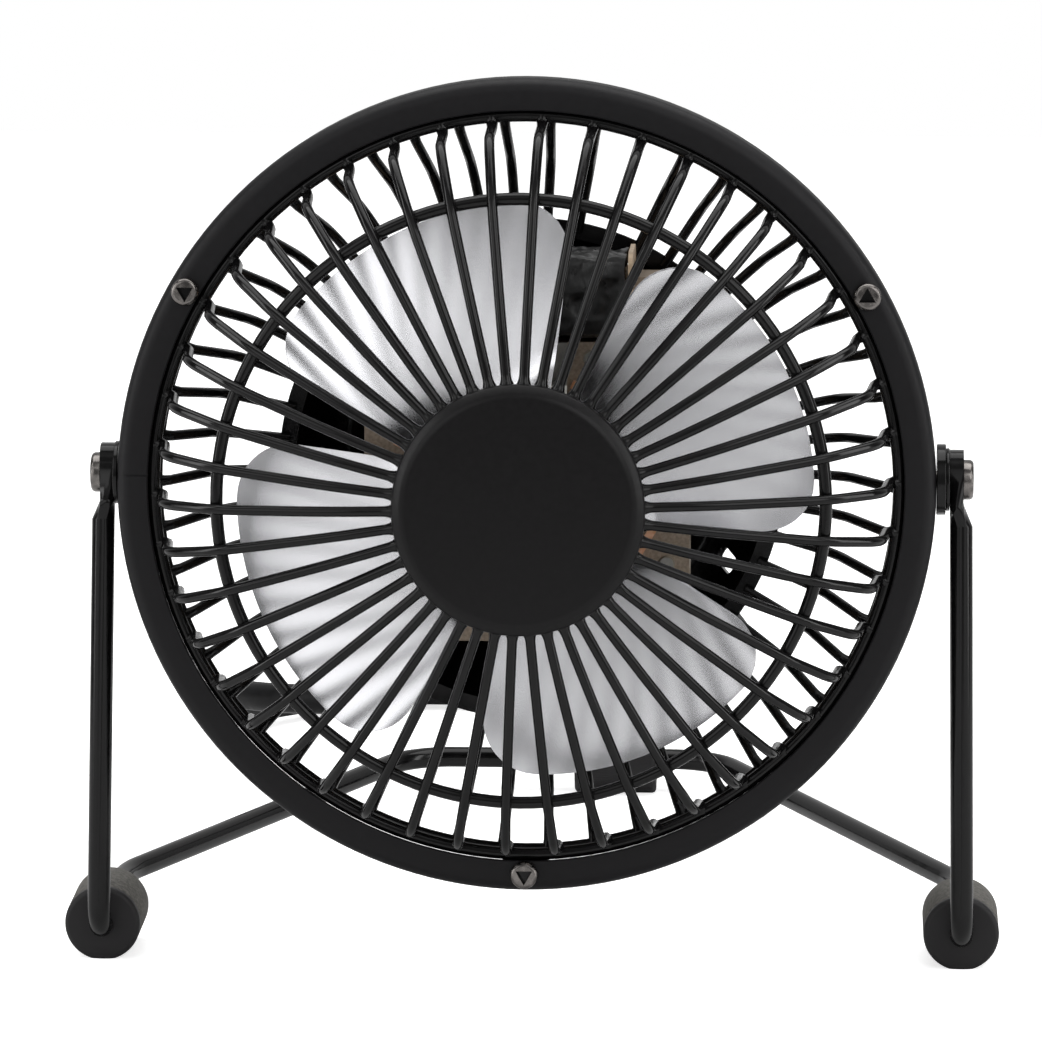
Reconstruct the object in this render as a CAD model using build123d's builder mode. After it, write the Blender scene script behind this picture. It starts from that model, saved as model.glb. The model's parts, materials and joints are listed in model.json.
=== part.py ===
"""Small desk fan: wire guard on a tilting bent-rod stand, shaded-pole motor, four-blade fan.

Millimetres, +Z up, the fan blows towards -Y, +X is on the viewer's right.
The origin is under the middle of the fan, on the table.
Distances called d are measured forwards from the front face of the rim.
"""

import math
import os

from build123d import *

# Rim band
rim_diameter = 143.0
rim_depth = 11.2
rim_face = 5.6
rim_corner = 2.4
sheet = 0.8

# Guard wires: drawn six-sided, so each is given its half width across flats and points
wire_diameter = 1.8
ring_diameter = 2.2
hex_flat = 0.952
hex_point = 1.1
weld_gap = 0.03
front_wire_count = 46
front_first_wire = 2.5
kink_radius = 62.4
kink_d = 11.4
kink_bevel = 1.6
mid_ring_radius = 52.5
dome_d = 19.0
dome_slant = 1.16
flat_radius = 33.0
flat_d = 23.6
centre_ring_radius = 20.2
centre_d = 24.4
wire_overhang = 1.6
rear_wire_count = 50
rear_bend_radius = 55.6
rear_bend_d = -20.0
rear_ring_d = -6.2

# Hub disc
hub_diameter = 43.4
hub_height = 2.2
hub_corner = 1.4
tab_width = 4.0
tab_count = 3

# Rim fasteners
rim_screw_count = 3
rim_screw_circle = 68.3
rim_screw_shank = 2.5
rim_screw_head = 4.8
rim_screw_head_height = 1.6
clip_width = 8.0
clip_depth = 8.4
clip_clearance = 0.3

# Rear housing
housing_lip = 3.0
housing_mouth_diameter = 84.0
housing_back_diameter = 70.0
housing_lip_d = -23.8
housing_depth = 25.0
housing_corner = 6.0
vent_count = 12
vent_length = 11.0
vent_width = 3.2
vent_first = 27.0

# Motor
stator_front_d = -7.0
stack = 11.5
stator_width = 57.0
stator_bottom = 28.0
yoke_top = 25.0
leg_bottom = 29.5
leg_top = 36.5
window_width = 37.0
stator_corner = 4.0
bore_diameter = 28.0
air_gap = 0.4
bobbin_wall = 0.8
winding = 2.6
winding_corner = 2.4
winding_step = 0.2
shaft_diameter = 4.0
shaft_rear_d = -31.0
shaft_front_d = 13.5
bearing_diameter = 8.0
bearing_length = 6.0
bracket_sheet = 1.2
bracket_width = 14.0
bracket_rise = 7.0
bracket_screw_offset = 22.5
screw_shank = 3.0
screw_head = 5.0
screw_head_height = 1.8
nut_flats = 5.5
nut_height = 2.4
standoff_diameter = 5.0
rivet_diameter = 3.0
rivet_height = 0.7
shading_bar = 1.4
shading_length = 9.0
rotor_overhang = 1.0
running_fit = 0.03
hole_fit = 0.1
seat_fit = 0.03

# Fan
blade_count = 4
blade_first = 63.9
blade_diameter = 100.6
blade_sheet = 0.7
blade_d = 6.4
blade_spread = 35.5
blade_corner = 9.0
blade_root_width = 19.0
blade_disc_diameter = 30.0
hub_boss_diameter = 11.0
hub_boss_length = 8.0

# Rocker switch
switch_height = 10.4
switch_width = 9.0
switch_length = 14.6
switch_depth = 10.5
switch_flange = 1.2
switch_flange_lip = 1.0
switch_wall = 0.9
switch_corner = 1.0
rocker_gap = 0.35
rocker_half_swing = 9.0
rocker_rise = 2.6
rocker_dip = 0.9
rocker_foot = 2.0
rocker_axis_depth = 1.0
rocker_end_gap = 0.65
switch_cavity = 4.5
rocker_pin = 1.6
rocker_pin_wall = 0.125
rocker_pin_gap = 0.125

# Stand
rod_diameter = 4.0
pivot_setback = 7.5
pivot_rise = 1.3
rest_tilt = 2.5
pivot_height_above_rod = 81.2
upright_splay = 1.0
upright_lean = 8.5
bottom_bend = 5.0
foot_setback = 5.6
stand_depth = 134.5
leg_straight = 38.0
leg_bend = 20.0
rear_bar = 60.0
rear_bend = 14.0
foot_diameter = 13.4
foot_length = 16.0
foot_flat = 0.4
foot_edge = 0.9
rear_foot_offset = 10.5
eye_thickness = 2.4
eye_width = 6.6
eye_reach = 5.2
eye_neck = 4.2
eye_taper = 4.0
eye_round = 2.8

# Tilt pivots
pivot_screw = 3.0
pivot_head = 7.0
pivot_head_height = 1.7
washer_diameter = 11.0
left_washer = 0.8
spacer_diameter = 12.4
right_spacer = 1.6
right_washer = 0.6
stack_gap = 0.05

# Mains lead
cord_diameter = 5.8
gland_flange_diameter = 11.0
gland_flange = 1.6
gland_length = 20.0
gland_neck = 7.6
gland_root = 9.2
gland_tip = 7.2
gland_drop = 5.0
coil_turns = 6
coil_radius = 44.3
coil_step = 6.85
coil_layer = 7.1
coil_x = -16.0
coil_y = 196.3
coil_blend = 0.25
coil_tail_radius = 51.8
coil_tail = 0.375
plug_run = 11.0
plug_length = 36.0
plug_width = 26.0
plug_height = 14.0
plug_nose = 16.0
plug_neck = 9.8
plug_neck_corner = 3.0
plug_corner = 4.0
pin_diameter = 4.0
pin_length = 19.0
pin_spacing = 19.0
tie_width = 6.0
tie_wall = 0.6
tie_angle = 120.0
cord_gap = 0.3

# Places worked out from the sizes above
rim_radius = rim_diameter / 2
hub_radius = hub_diameter / 2
wire_flat = wire_diameter / 2 * hex_flat
wire_point = wire_diameter / 2 * hex_point
ring_flat = ring_diameter / 2 * hex_flat
ring_point = ring_diameter / 2 * hex_point
hub_back_d = centre_d + wire_flat + weld_gap
hub_front_d = hub_back_d + hub_height
rod_z = foot_diameter / 2 - foot_flat
pivot_z = rod_z + pivot_height_above_rod
foot_front = -upright_lean + foot_setback
stand_rear = foot_front + stand_depth
nose_up = math.radians(rest_tilt)
nose_reach = (pivot_setback + hub_front_d - hub_corner) * math.cos(nose_up)
nose_drop = (pivot_rise + hub_radius - hub_corner) * math.sin(nose_up)
pivot_y = (nose_reach + nose_drop + hub_corner - stand_rear - foot_diameter / 2) / 2
left_stack = left_washer + 2 * stack_gap
right_stack = right_spacer + right_washer + 3 * stack_gap
eye_inner = rim_radius + (left_stack + right_stack) / 2
head_x = eye_inner - right_stack - rim_radius
rod_x = eye_inner + rod_diameter / 2
foot_x = rod_x + upright_splay
housing_back_d = housing_lip_d - sheet - housing_depth
stator_rear_d = stator_front_d - stack

forward = Vector(0, -math.cos(nose_up), math.sin(nose_up))
upward = Vector(0, math.sin(nose_up), math.cos(nose_up))
face_centre = Vector(head_x, pivot_y, pivot_z) + forward * pivot_setback - upward * pivot_rise

HEAD = Plane(face_centre, x_dir=(1, 0, 0), z_dir=forward)
PROFILE = Plane(face_centre, x_dir=(1, 0, 0), z_dir=-upward)
SIDE = Plane(face_centre, x_dir=upward, z_dir=(1, 0, 0))
SPIN = Axis(face_centre, forward)

pieces = {}


def keep(name, shape):
    """Label a finished piece and remember it for writing."""
    shape.label = name
    pieces[name] = shape


def copies(shape, count, first=0.0):
    """A group of separate copies of one solid, evenly spaced about the fan's axis."""
    turned = [shape.rotate(SPIN, -(first + i * 360 / count)) for i in range(count)]
    return Compound(children=turned)


def revolved_profile(points, corners=()):
    """A solid turned about the fan's axis from (radius, d) points, some corners rounded."""
    with BuildPart() as turned:
        with BuildSketch(PROFILE) as section:
            with BuildLine():
                Polyline(*points, close=True)
            make_face()
            for corner, size in corners:
                fillet(section.vertices().sort_by_distance(corner)[0], size)
        revolve(axis=SPIN)
    return turned.part


def wire_ring(radius, d, wire):
    """A ring of guard wire, six-sided in section."""
    with BuildPart() as ring:
        with BuildSketch(PROFILE):
            with Locations((radius, d)):
                RegularPolygon(wire / 2 * hex_point, 6, rotation=30)
        revolve(axis=SPIN)
    return ring.part


def guard_wire(points):
    """One guard wire along (radius, d) points, six-sided in section."""
    with BuildPart() as wire:
        with BuildLine(PROFILE) as run:
            Polyline(*points)
        start = run.line @ 0
        with BuildSketch(Plane(start, x_dir=upward, z_dir=run.line % 0)):
            RegularPolygon(wire_point, 6)
        sweep(transition=Transition.RIGHT)
    return wire.part


def head_cylinder(diameter, back_d, front_d, x=0.0, z=0.0):
    """A plain rod along the fan's axis direction."""
    with BuildPart() as rod:
        with BuildSketch(HEAD.offset(back_d)):
            with Locations((x, z)):
                Circle(diameter / 2)
        extrude(amount=front_d - back_d)
    return rod.part


# Rim band: a rolled channel, open at the back, with its seam at the left pivot
flange_inner = rim_radius - rim_face
rim_points = [
    (flange_inner, 0),
    (rim_radius, 0),
    (rim_radius, -rim_depth),
    (rim_radius - sheet, -rim_depth),
    (rim_radius - sheet, -sheet),
    (flange_inner, -sheet),
]
rim_rounds = [
    ((rim_radius, 0), rim_corner),
    ((rim_radius - sheet, -sheet), rim_corner - sheet),
]
rim_shell = revolved_profile(rim_points, rim_rounds)
with BuildPart() as rim_band:
    add(rim_shell)
    with BuildSketch(HEAD):
        with PolarLocations(rim_screw_circle, rim_screw_count, start_angle=30):
            Circle(rim_screw_shank / 2 + hole_fit)
    extrude(amount=-2 * sheet, mode=Mode.SUBTRACT)
    with BuildSketch(Plane((head_x, pivot_y, pivot_z), x_dir=(0, 1, 0), z_dir=(1, 0, 0))):
        Circle(pivot_screw / 2 + hole_fit)
    extrude(amount=rim_diameter, both=True, mode=Mode.SUBTRACT)
keep("rim_band", rim_band.part)

# Front guard
front_ring_d = -sheet - ring_flat - seat_fit
front_ring_radius = flange_inner - ring_diameter * 0.32
root_radius = front_ring_radius - ring_point - wire_flat - weld_gap
front_wire_points = [
    (root_radius, front_ring_d - ring_flat),
    (kink_radius, kink_d - kink_bevel),
    (kink_radius - kink_bevel, kink_d + kink_bevel * 0.7),
    (mid_ring_radius, dome_d),
    (flat_radius, flat_d),
    (centre_ring_radius - wire_overhang, centre_d),
]
front_wire = guard_wire(front_wire_points)
keep("front_grille_wires", copies(front_wire, front_wire_count, front_first_wire - 90))
keep("front_rim_ring", wire_ring(front_ring_radius, front_ring_d, ring_diameter))
ring_setback = wire_point + ring_point + weld_gap
keep("front_mid_ring", wire_ring(mid_ring_radius, dome_d - ring_setback * dome_slant, ring_diameter))
keep("front_centre_ring", wire_ring(centre_ring_radius, centre_d - ring_setback, ring_diameter))

# Hub disc: a shallow pressed cap, held by tabs bent over behind the centre ring
hub_points = [
    (0, hub_front_d),
    (hub_radius, hub_front_d),
    (hub_radius, hub_back_d),
    (hub_radius - sheet, hub_back_d),
    (hub_radius - sheet, hub_front_d - sheet),
    (0, hub_front_d - sheet),
]
hub_rounds = [
    ((hub_radius, hub_front_d), hub_corner),
    ((hub_radius - sheet, hub_front_d - sheet), hub_corner - sheet),
]
ring_back_d = centre_d - ring_setback - ring_point
tab_back_d = ring_back_d - seat_fit
tab_outer = centre_ring_radius - wire_overhang - seat_fit * 4
with BuildPart() as hub_tab:
    with BuildSketch(SIDE):
        with BuildLine():
            Polyline(
                (tab_outer, hub_front_d - sheet / 2),
                (tab_outer, tab_back_d),
                (centre_ring_radius, tab_back_d),
                (centre_ring_radius, tab_back_d - sheet),
                (tab_outer - sheet, tab_back_d - sheet),
                (tab_outer - sheet, hub_front_d - sheet / 2),
                close=True,
            )
        make_face()
    extrude(amount=tab_width / 2, both=True)
hub_cap = revolved_profile(hub_points, hub_rounds)
with BuildPart() as hub_badge:
    add(hub_cap)
    for i in range(tab_count):
        add(hub_tab.part.rotate(SPIN, i * 360 / tab_count))
keep("hub_badge", hub_badge.part)

# Rim screws and the clips that clamp both guard rings behind the face
with BuildPart() as rim_screw:
    with BuildSketch(HEAD.offset(seat_fit)):
        with Locations((0, rim_screw_circle)):
            Circle(rim_screw_head / 2)
    extrude(amount=rim_screw_head_height)
    fillet(rim_screw.edges().group_by(Axis.Y)[0], rim_screw_head_height * 0.45)
    with BuildSketch(HEAD.offset(seat_fit)):
        with Locations((0, rim_screw_circle)):
            Circle(rim_screw_shank / 2)
    extrude(amount=-clip_depth - sheet)
keep("rim_screws", copies(rim_screw.part, rim_screw_count, 60))

rear_ring_radius = front_ring_radius
clip_inner = front_ring_radius + ring_point + seat_fit
clip_outer = rim_radius - sheet - clip_clearance
clip_front_d = -sheet - seat_fit
clip_back_d = -sheet - clip_depth
clip_hook_d = rear_ring_d - ring_point - seat_fit
with BuildPart() as rim_clip:
    with BuildSketch(SIDE):
        with BuildLine():
            Polyline(
                (clip_inner, clip_front_d),
                (clip_outer - rim_corner + sheet, clip_front_d),
                (clip_outer, clip_front_d - rim_corner + sheet),
                (clip_outer, clip_back_d),
                (rear_ring_radius, clip_back_d),
                (rear_ring_radius, clip_hook_d),
                (clip_inner, clip_hook_d),
                close=True,
            )
        make_face()
    extrude(amount=clip_width / 2, both=True)
    with BuildSketch(HEAD):
        with Locations((0, rim_screw_circle)):
            Circle(rim_screw_shank / 2 + running_fit)
    extrude(amount=-rim_depth, mode=Mode.SUBTRACT)
keep("rim_clips", copies(rim_clip.part, rim_screw_count, 60))

# Rear guard
rear_end_d = housing_lip_d + wire_flat + weld_gap
rear_root_radius = rear_ring_radius - ring_point - wire_flat - weld_gap
rear_wire_points = [
    (rear_root_radius, rear_ring_d + ring_flat),
    (rear_bend_radius, rear_bend_d),
    ((housing_mouth_diameter + housing_lip) / 2, rear_end_d),
]
rear_first_wire = 180 / rear_wire_count - 90
keep("rear_grille_wires", copies(guard_wire(rear_wire_points), rear_wire_count, rear_first_wire))
keep("rear_rim_ring", wire_ring(rear_ring_radius, rear_ring_d, ring_diameter))

# Rear housing: a pressed cup with a welding lip, vents and holes for what it carries
mouth_radius = housing_mouth_diameter / 2
lip_radius = mouth_radius + housing_lip
back_radius = housing_back_diameter / 2
housing_points = [
    (mouth_radius, housing_lip_d),
    (lip_radius, housing_lip_d),
    (lip_radius, housing_lip_d - sheet),
    (mouth_radius + sheet, housing_lip_d - sheet),
    (back_radius + sheet, housing_back_d),
    (0, housing_back_d),
    (0, housing_back_d + sheet),
    (back_radius, housing_back_d + sheet),
]
housing_rounds = [
    ((back_radius + sheet, housing_back_d), housing_corner),
    ((back_radius, housing_back_d + sheet), housing_corner - sheet),
]
housing_shell = revolved_profile(housing_points, housing_rounds)
vent_d = housing_lip_d - sheet - housing_depth * 0.45
with BuildPart() as vent:
    with BuildSketch(Plane(HEAD.from_local_coords((0, 0, vent_d)), x_dir=(1, 0, 0), z_dir=upward)):
        SlotOverall(vent_length, vent_width, rotation=90)
    extrude(amount=lip_radius)
switch_hole_width = switch_width + 2 * hole_fit
switch_hole_length = switch_length + 2 * hole_fit
with BuildPart() as rear_housing:
    add(housing_shell)
    for i in range(vent_count):
        add(vent.part.rotate(SPIN, -(vent_first + i * 360 / vent_count)), mode=Mode.SUBTRACT)
    with BuildSketch(HEAD.offset(housing_back_d)):
        with Locations((0, switch_height)):
            Rectangle(switch_hole_width, switch_hole_length)
        with Locations((0, -gland_drop)):
            Circle(gland_neck / 2 + hole_fit)
        with Locations((0, bracket_screw_offset), (0, -bracket_screw_offset)):
            Circle(screw_shank / 2 + hole_fit)
    extrude(amount=2 * sheet, both=True, mode=Mode.SUBTRACT)
keep("rear_housing", rear_housing.part)

# Stator: a stack of laminations with the coil on its top leg
shading_places = [
    (20.5, -10.5, 60),
    (11.9, 15.8, -25),
    (-20.5, 10.5, 60),
    (-11.9, -15.8, -25),
]
rivet_places = [(24.5, -14), (-24.5, -14), (11.2, 22.2), (-11.2, 22.2)]
with BuildPart() as stator_core:
    with BuildSketch(HEAD.offset(stator_rear_d)) as plate:
        with Locations((0, (leg_top - stator_bottom) / 2)):
            RectangleRounded(stator_width, leg_top + stator_bottom, stator_corner)
        with Locations((0, (yoke_top + leg_bottom) / 2)):
            Rectangle(window_width, leg_bottom - yoke_top, mode=Mode.SUBTRACT)
        Circle(bore_diameter / 2, mode=Mode.SUBTRACT)
        with Locations((0, bracket_screw_offset), (0, -bracket_screw_offset)):
            Circle(screw_shank / 2 + hole_fit, mode=Mode.SUBTRACT)
        for x, z, turn in shading_places:
            with Locations(Location((x, z), turn)):
                with GridLocations(shading_length - shading_bar, 1, 2, 1):
                    Rectangle(shading_bar + 2 * seat_fit, shading_bar + 2 * seat_fit, mode=Mode.SUBTRACT)
    extrude(amount=stack)
keep("stator_core", stator_core.part)

with BuildPart() as lamination_rivets:
    with BuildSketch(HEAD.offset(stator_front_d + seat_fit)):
        with Locations(*rivet_places):
            Circle(rivet_diameter / 2)
    extrude(amount=rivet_height, taper=20)
keep("lamination_rivets", lamination_rivets.part)

loop_depth = stack + 2 * (shading_bar + seat_fit)
loops = []
for x, z, turn in shading_places:
    middle = HEAD.from_local_coords((x, z, (stator_front_d + stator_rear_d) / 2))
    along = HEAD.x_dir * math.cos(math.radians(turn)) + upward * math.sin(math.radians(turn))
    with BuildPart() as loop:
        with BuildSketch(Plane(middle, x_dir=along, z_dir=along.cross(forward))):
            Rectangle(shading_length, loop_depth)
            Rectangle(shading_length - 2 * shading_bar, loop_depth - 2 * shading_bar, mode=Mode.SUBTRACT)
        extrude(amount=shading_bar / 2, both=True)
    loops.append(loop.part)
keep("shading_rings", Compound(children=loops))

# Coil on the stator's top leg
leg_middle = (leg_bottom + leg_top) / 2
leg_height = leg_top - leg_bottom
sleeve_height = leg_height + 2 * (bobbin_wall + seat_fit)
sleeve_depth = stack + 2 * (bobbin_wall + seat_fit)
flange_height = 2 * (leg_middle - yoke_top) - 4 * seat_fit
flange_depth = sleeve_depth + 2 * winding
bobbin_length = window_width - 4 * seat_fit
coil_middle = HEAD.from_local_coords((0, leg_middle, (stator_front_d + stator_rear_d) / 2))
COIL = Plane(coil_middle, x_dir=-forward, z_dir=(1, 0, 0))
with BuildPart() as coil_bobbin:
    with BuildSketch(COIL):
        Rectangle(sleeve_depth, sleeve_height)
    extrude(amount=bobbin_length / 2, both=True)
    for side in (-1, 1):
        with BuildSketch(COIL.offset(side * bobbin_length / 2)):
            RectangleRounded(flange_depth, flange_height, winding_corner)
        extrude(amount=-side * bobbin_wall)
    with BuildSketch(COIL):
        Rectangle(stack + 2 * seat_fit, leg_height + 2 * seat_fit)
    extrude(amount=bobbin_length, both=True, mode=Mode.SUBTRACT)
keep("coil_bobbin", coil_bobbin.part)

coil_length = bobbin_length - 2 * bobbin_wall - 2 * seat_fit
with BuildPart() as field_coil:
    with BuildSketch(COIL):
        RectangleRounded(flange_depth - 2 * winding_step, flange_height - 2 * winding_step, winding_corner)
        Rectangle(sleeve_depth + 2 * seat_fit, sleeve_height + 2 * seat_fit, mode=Mode.SUBTRACT)
    extrude(amount=coil_length / 2, both=True)
keep("field_coil", field_coil.part)


def bearing_bracket(name, foot_d, side):
    """A strap bridging the rotor, with a collar for its bearing."""
    top_d = foot_d + side * bracket_rise
    half = bracket_screw_offset + screw_head / 2
    ramp = bracket_screw_offset - screw_head
    shelf = ramp - bracket_rise
    bottom = [(-half, foot_d), (-ramp, foot_d), (-shelf, top_d)]
    bottom += [(-z, d) for z, d in reversed(bottom)]
    rise = side * bracket_sheet
    top = [(z, d + rise) for z, d in reversed(bottom)]
    with BuildPart() as bracket:
        with BuildSketch(SIDE):
            with BuildLine():
                Polyline(*bottom, *top, close=True)
            make_face()
        extrude(amount=bracket_width / 2, both=True)
        with BuildSketch(HEAD.offset(top_d)):
            Circle(bearing_diameter / 2 + bracket_sheet)
        extrude(amount=-side * (bearing_length - bracket_sheet))
        with BuildSketch(HEAD.offset(top_d)):
            Circle(bearing_diameter / 2 + running_fit)
        extrude(amount=bearing_length, both=True, mode=Mode.SUBTRACT)
        with BuildSketch(HEAD.offset(foot_d)):
            with Locations((0, bracket_screw_offset), (0, -bracket_screw_offset)):
                Circle(screw_shank / 2 + hole_fit)
        extrude(amount=2 * bracket_sheet, both=True, mode=Mode.SUBTRACT)
    keep(name + "_bearing_bracket", bracket.part)
    face_d = top_d + rise
    with BuildPart() as bearing:
        with BuildSketch(HEAD.offset(face_d)):
            Circle(bearing_diameter / 2)
            Circle(shaft_diameter / 2 + running_fit, mode=Mode.SUBTRACT)
        extrude(amount=-side * bearing_length)
    keep(name + "_bearing", bearing.part)


front_foot_d = stator_front_d + seat_fit
rear_foot_d = stator_rear_d - seat_fit
bearing_bracket("front", front_foot_d, 1)
bearing_bracket("rear", rear_foot_d, -1)

# Long screws through brackets, stator, standoffs and housing
head_seat_d = front_foot_d + bracket_sheet + seat_fit
nut_front_d = housing_back_d - seat_fit
with BuildPart() as motor_screws:
    with BuildSketch(HEAD.offset(head_seat_d)):
        with Locations((0, bracket_screw_offset), (0, -bracket_screw_offset)):
            Circle(screw_head / 2)
    extrude(amount=screw_head_height)
    with BuildSketch(HEAD.offset(head_seat_d)):
        with Locations((0, bracket_screw_offset), (0, -bracket_screw_offset)):
            Circle(screw_shank / 2)
    extrude(amount=nut_front_d - nut_height - head_seat_d)
keep("motor_screws", motor_screws.part)

standoff_front_d = rear_foot_d - bracket_sheet - seat_fit
standoff_rear_d = housing_back_d + sheet + seat_fit
with BuildPart() as motor_standoffs:
    with BuildSketch(HEAD.offset(standoff_rear_d)):
        with Locations((0, bracket_screw_offset), (0, -bracket_screw_offset)):
            Circle(standoff_diameter / 2)
            Circle(screw_shank / 2 + hole_fit, mode=Mode.SUBTRACT)
    extrude(amount=standoff_front_d - standoff_rear_d)
keep("motor_standoffs", motor_standoffs.part)

with BuildPart() as motor_nuts:
    with BuildSketch(HEAD.offset(nut_front_d)):
        with Locations((0, bracket_screw_offset), (0, -bracket_screw_offset)):
            RegularPolygon(nut_flats / 2, 6, major_radius=False)
            Circle(screw_shank / 2 + running_fit, mode=Mode.SUBTRACT)
    extrude(amount=-nut_height)
keep("motor_nuts", motor_nuts.part)

# Rotor
keep("motor_shaft", head_cylinder(shaft_diameter, shaft_rear_d, shaft_front_d))
with BuildPart() as rotor_core:
    with BuildSketch(HEAD.offset(stator_rear_d - rotor_overhang)):
        Circle(bore_diameter / 2 - air_gap)
        Circle(shaft_diameter / 2 + seat_fit, mode=Mode.SUBTRACT)
    extrude(amount=stack + 2 * rotor_overhang)
keep("rotor_core", rotor_core.part)

hub_seat_d = blade_d + blade_sheet / 2 + seat_fit
with BuildPart() as blade_hub:
    with BuildSketch(HEAD.offset(hub_seat_d)):
        Circle(hub_boss_diameter / 2)
        Circle(shaft_diameter / 2 + seat_fit, mode=Mode.SUBTRACT)
    extrude(amount=hub_boss_length)
    fillet(blade_hub.edges().group_by(Axis.Y)[0].sort_by(SortBy.LENGTH)[-1], hub_boss_diameter / 8)
keep("blade_hub", blade_hub.part)

# Blades: twisted sheets, flat at the root, trimmed to rounded paddles
tip_radius = blade_diameter / 2
blade_sections = [(0.18, 0.0), (0.36, 21.0), (0.6, 21.0), (0.82, 17.0), (1.03, 14.0)]
half_spread = math.radians(blade_spread)
with BuildPart() as blade:
    for share, pitch in blade_sections:
        at = HEAD.from_local_coords((0, tip_radius * share, blade_d))
        with BuildSketch(Plane(at, x_dir=(1, 0, 0), z_dir=upward)):
            Rectangle(2.6 * tip_radius * math.sin(half_spread), blade_sheet, rotation=pitch)
    loft()
    side_x = tip_radius * math.sin(half_spread)
    side_z = tip_radius * math.cos(half_spread)
    with BuildSketch(HEAD.offset(blade_d)) as paddle:
        with BuildLine():
            Polyline(
                (side_x, side_z),
                (blade_root_width / 2, tip_radius * 0.2),
                (-blade_root_width / 2, tip_radius * 0.2),
                (-side_x, side_z),
            )
            ThreePointArc((-side_x, side_z), (0, tip_radius), (side_x, side_z))
        make_face()
        fillet(paddle.vertices().group_by(Axis.Y)[-1], blade_corner)
    extrude(amount=tip_radius, both=True, mode=Mode.INTERSECT)
with BuildPart() as fan_blades:
    with BuildSketch(HEAD.offset(blade_d - blade_sheet / 2)):
        Circle(blade_disc_diameter / 2)
    extrude(amount=blade_sheet)
    for i in range(blade_count):
        add(blade.part.rotate(SPIN, -(blade_first + i * 360 / blade_count)))
    with BuildSketch(HEAD.offset(blade_d)):
        Circle(shaft_diameter / 2 + seat_fit)
    extrude(amount=tip_radius, both=True, mode=Mode.SUBTRACT)
keep("fan_blades", fan_blades.part)

# Rocker switch in the housing's back wall, its face to the rear
switch_place = HEAD.from_local_coords((0, switch_height, housing_back_d))
SWITCH = Plane(switch_place, x_dir=(1, 0, 0), z_dir=-forward)
SWITCH_SIDE = Plane(switch_place, x_dir=-upward, z_dir=(1, 0, 0))
cavity_width = switch_width - 2 * switch_wall
cavity_length = switch_length - 2 * switch_wall
with BuildPart() as switch_body:
    with BuildSketch(SWITCH.offset(seat_fit)):
        lip = 2 * switch_flange_lip
        RectangleRounded(switch_width + lip, switch_length + lip, switch_corner)
    extrude(amount=switch_flange)
    with BuildSketch(SWITCH.offset(seat_fit)):
        Rectangle(switch_width, switch_length)
    extrude(amount=-switch_depth)
    with BuildSketch(SWITCH.offset(seat_fit + switch_flange)):
        Rectangle(cavity_width, cavity_length)
    extrude(amount=-switch_flange - switch_cavity, mode=Mode.SUBTRACT)
    with BuildSketch(SWITCH_SIDE):
        with Locations((0, -rocker_axis_depth)):
            Circle(rocker_pin / 2 + running_fit)
    extrude(amount=switch_width / 2 - rocker_pin_wall, both=True, mode=Mode.SUBTRACT)
keep("switch_body", switch_body.part)

rocker_half = cavity_length / 2 - rocker_end_gap
with BuildPart() as rocker:
    with BuildSketch(SWITCH_SIDE):
        with BuildLine():
            Polyline(
                (-rocker_half, rocker_rise),
                (0, rocker_rise - rocker_dip),
                (rocker_half, rocker_rise),
                (rocker_half, 0),
                (rocker_half - rocker_dip, -rocker_foot),
                (rocker_dip - rocker_half, -rocker_foot),
                (-rocker_half, 0),
                close=True,
            )
        make_face()
    extrude(amount=cavity_width / 2 - rocker_gap, both=True)
    with BuildSketch(SWITCH_SIDE):
        with Locations((0, -rocker_axis_depth)):
            Circle(rocker_pin / 2)
    extrude(amount=switch_width / 2 - rocker_pin_wall - rocker_pin_gap, both=True)
rocker_axis = Axis(SWITCH_SIDE.from_local_coords((0, -rocker_axis_depth, 0)), (1, 0, 0))
keep("switch_rocker", rocker.part.rotate(rocker_axis, rocker_half_swing))

# Strain relief where the lead leaves the housing
gland_place = HEAD.from_local_coords((0, -gland_drop, housing_back_d))
GLAND = Plane(gland_place, x_dir=(1, 0, 0), z_dir=upward)
gland_points = [
    (0, -sheet - seat_fit - gland_flange),
    (gland_flange_diameter / 2, -sheet - seat_fit - gland_flange),
    (gland_flange_diameter / 2, -sheet - seat_fit),
    (gland_neck / 2, -sheet - seat_fit),
    (gland_neck / 2, seat_fit),
    (gland_flange_diameter / 2, seat_fit),
    (gland_flange_diameter / 2, seat_fit + gland_flange),
    (gland_root / 2, seat_fit + gland_flange),
    (gland_tip / 2, gland_length),
    (0, gland_length),
]
with BuildPart() as cord_gland:
    with BuildSketch(GLAND):
        with BuildLine():
            Polyline(*gland_points, close=True)
        make_face()
    revolve(axis=Axis(gland_place, -forward))
keep("cord_gland", cord_gland.part)

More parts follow.
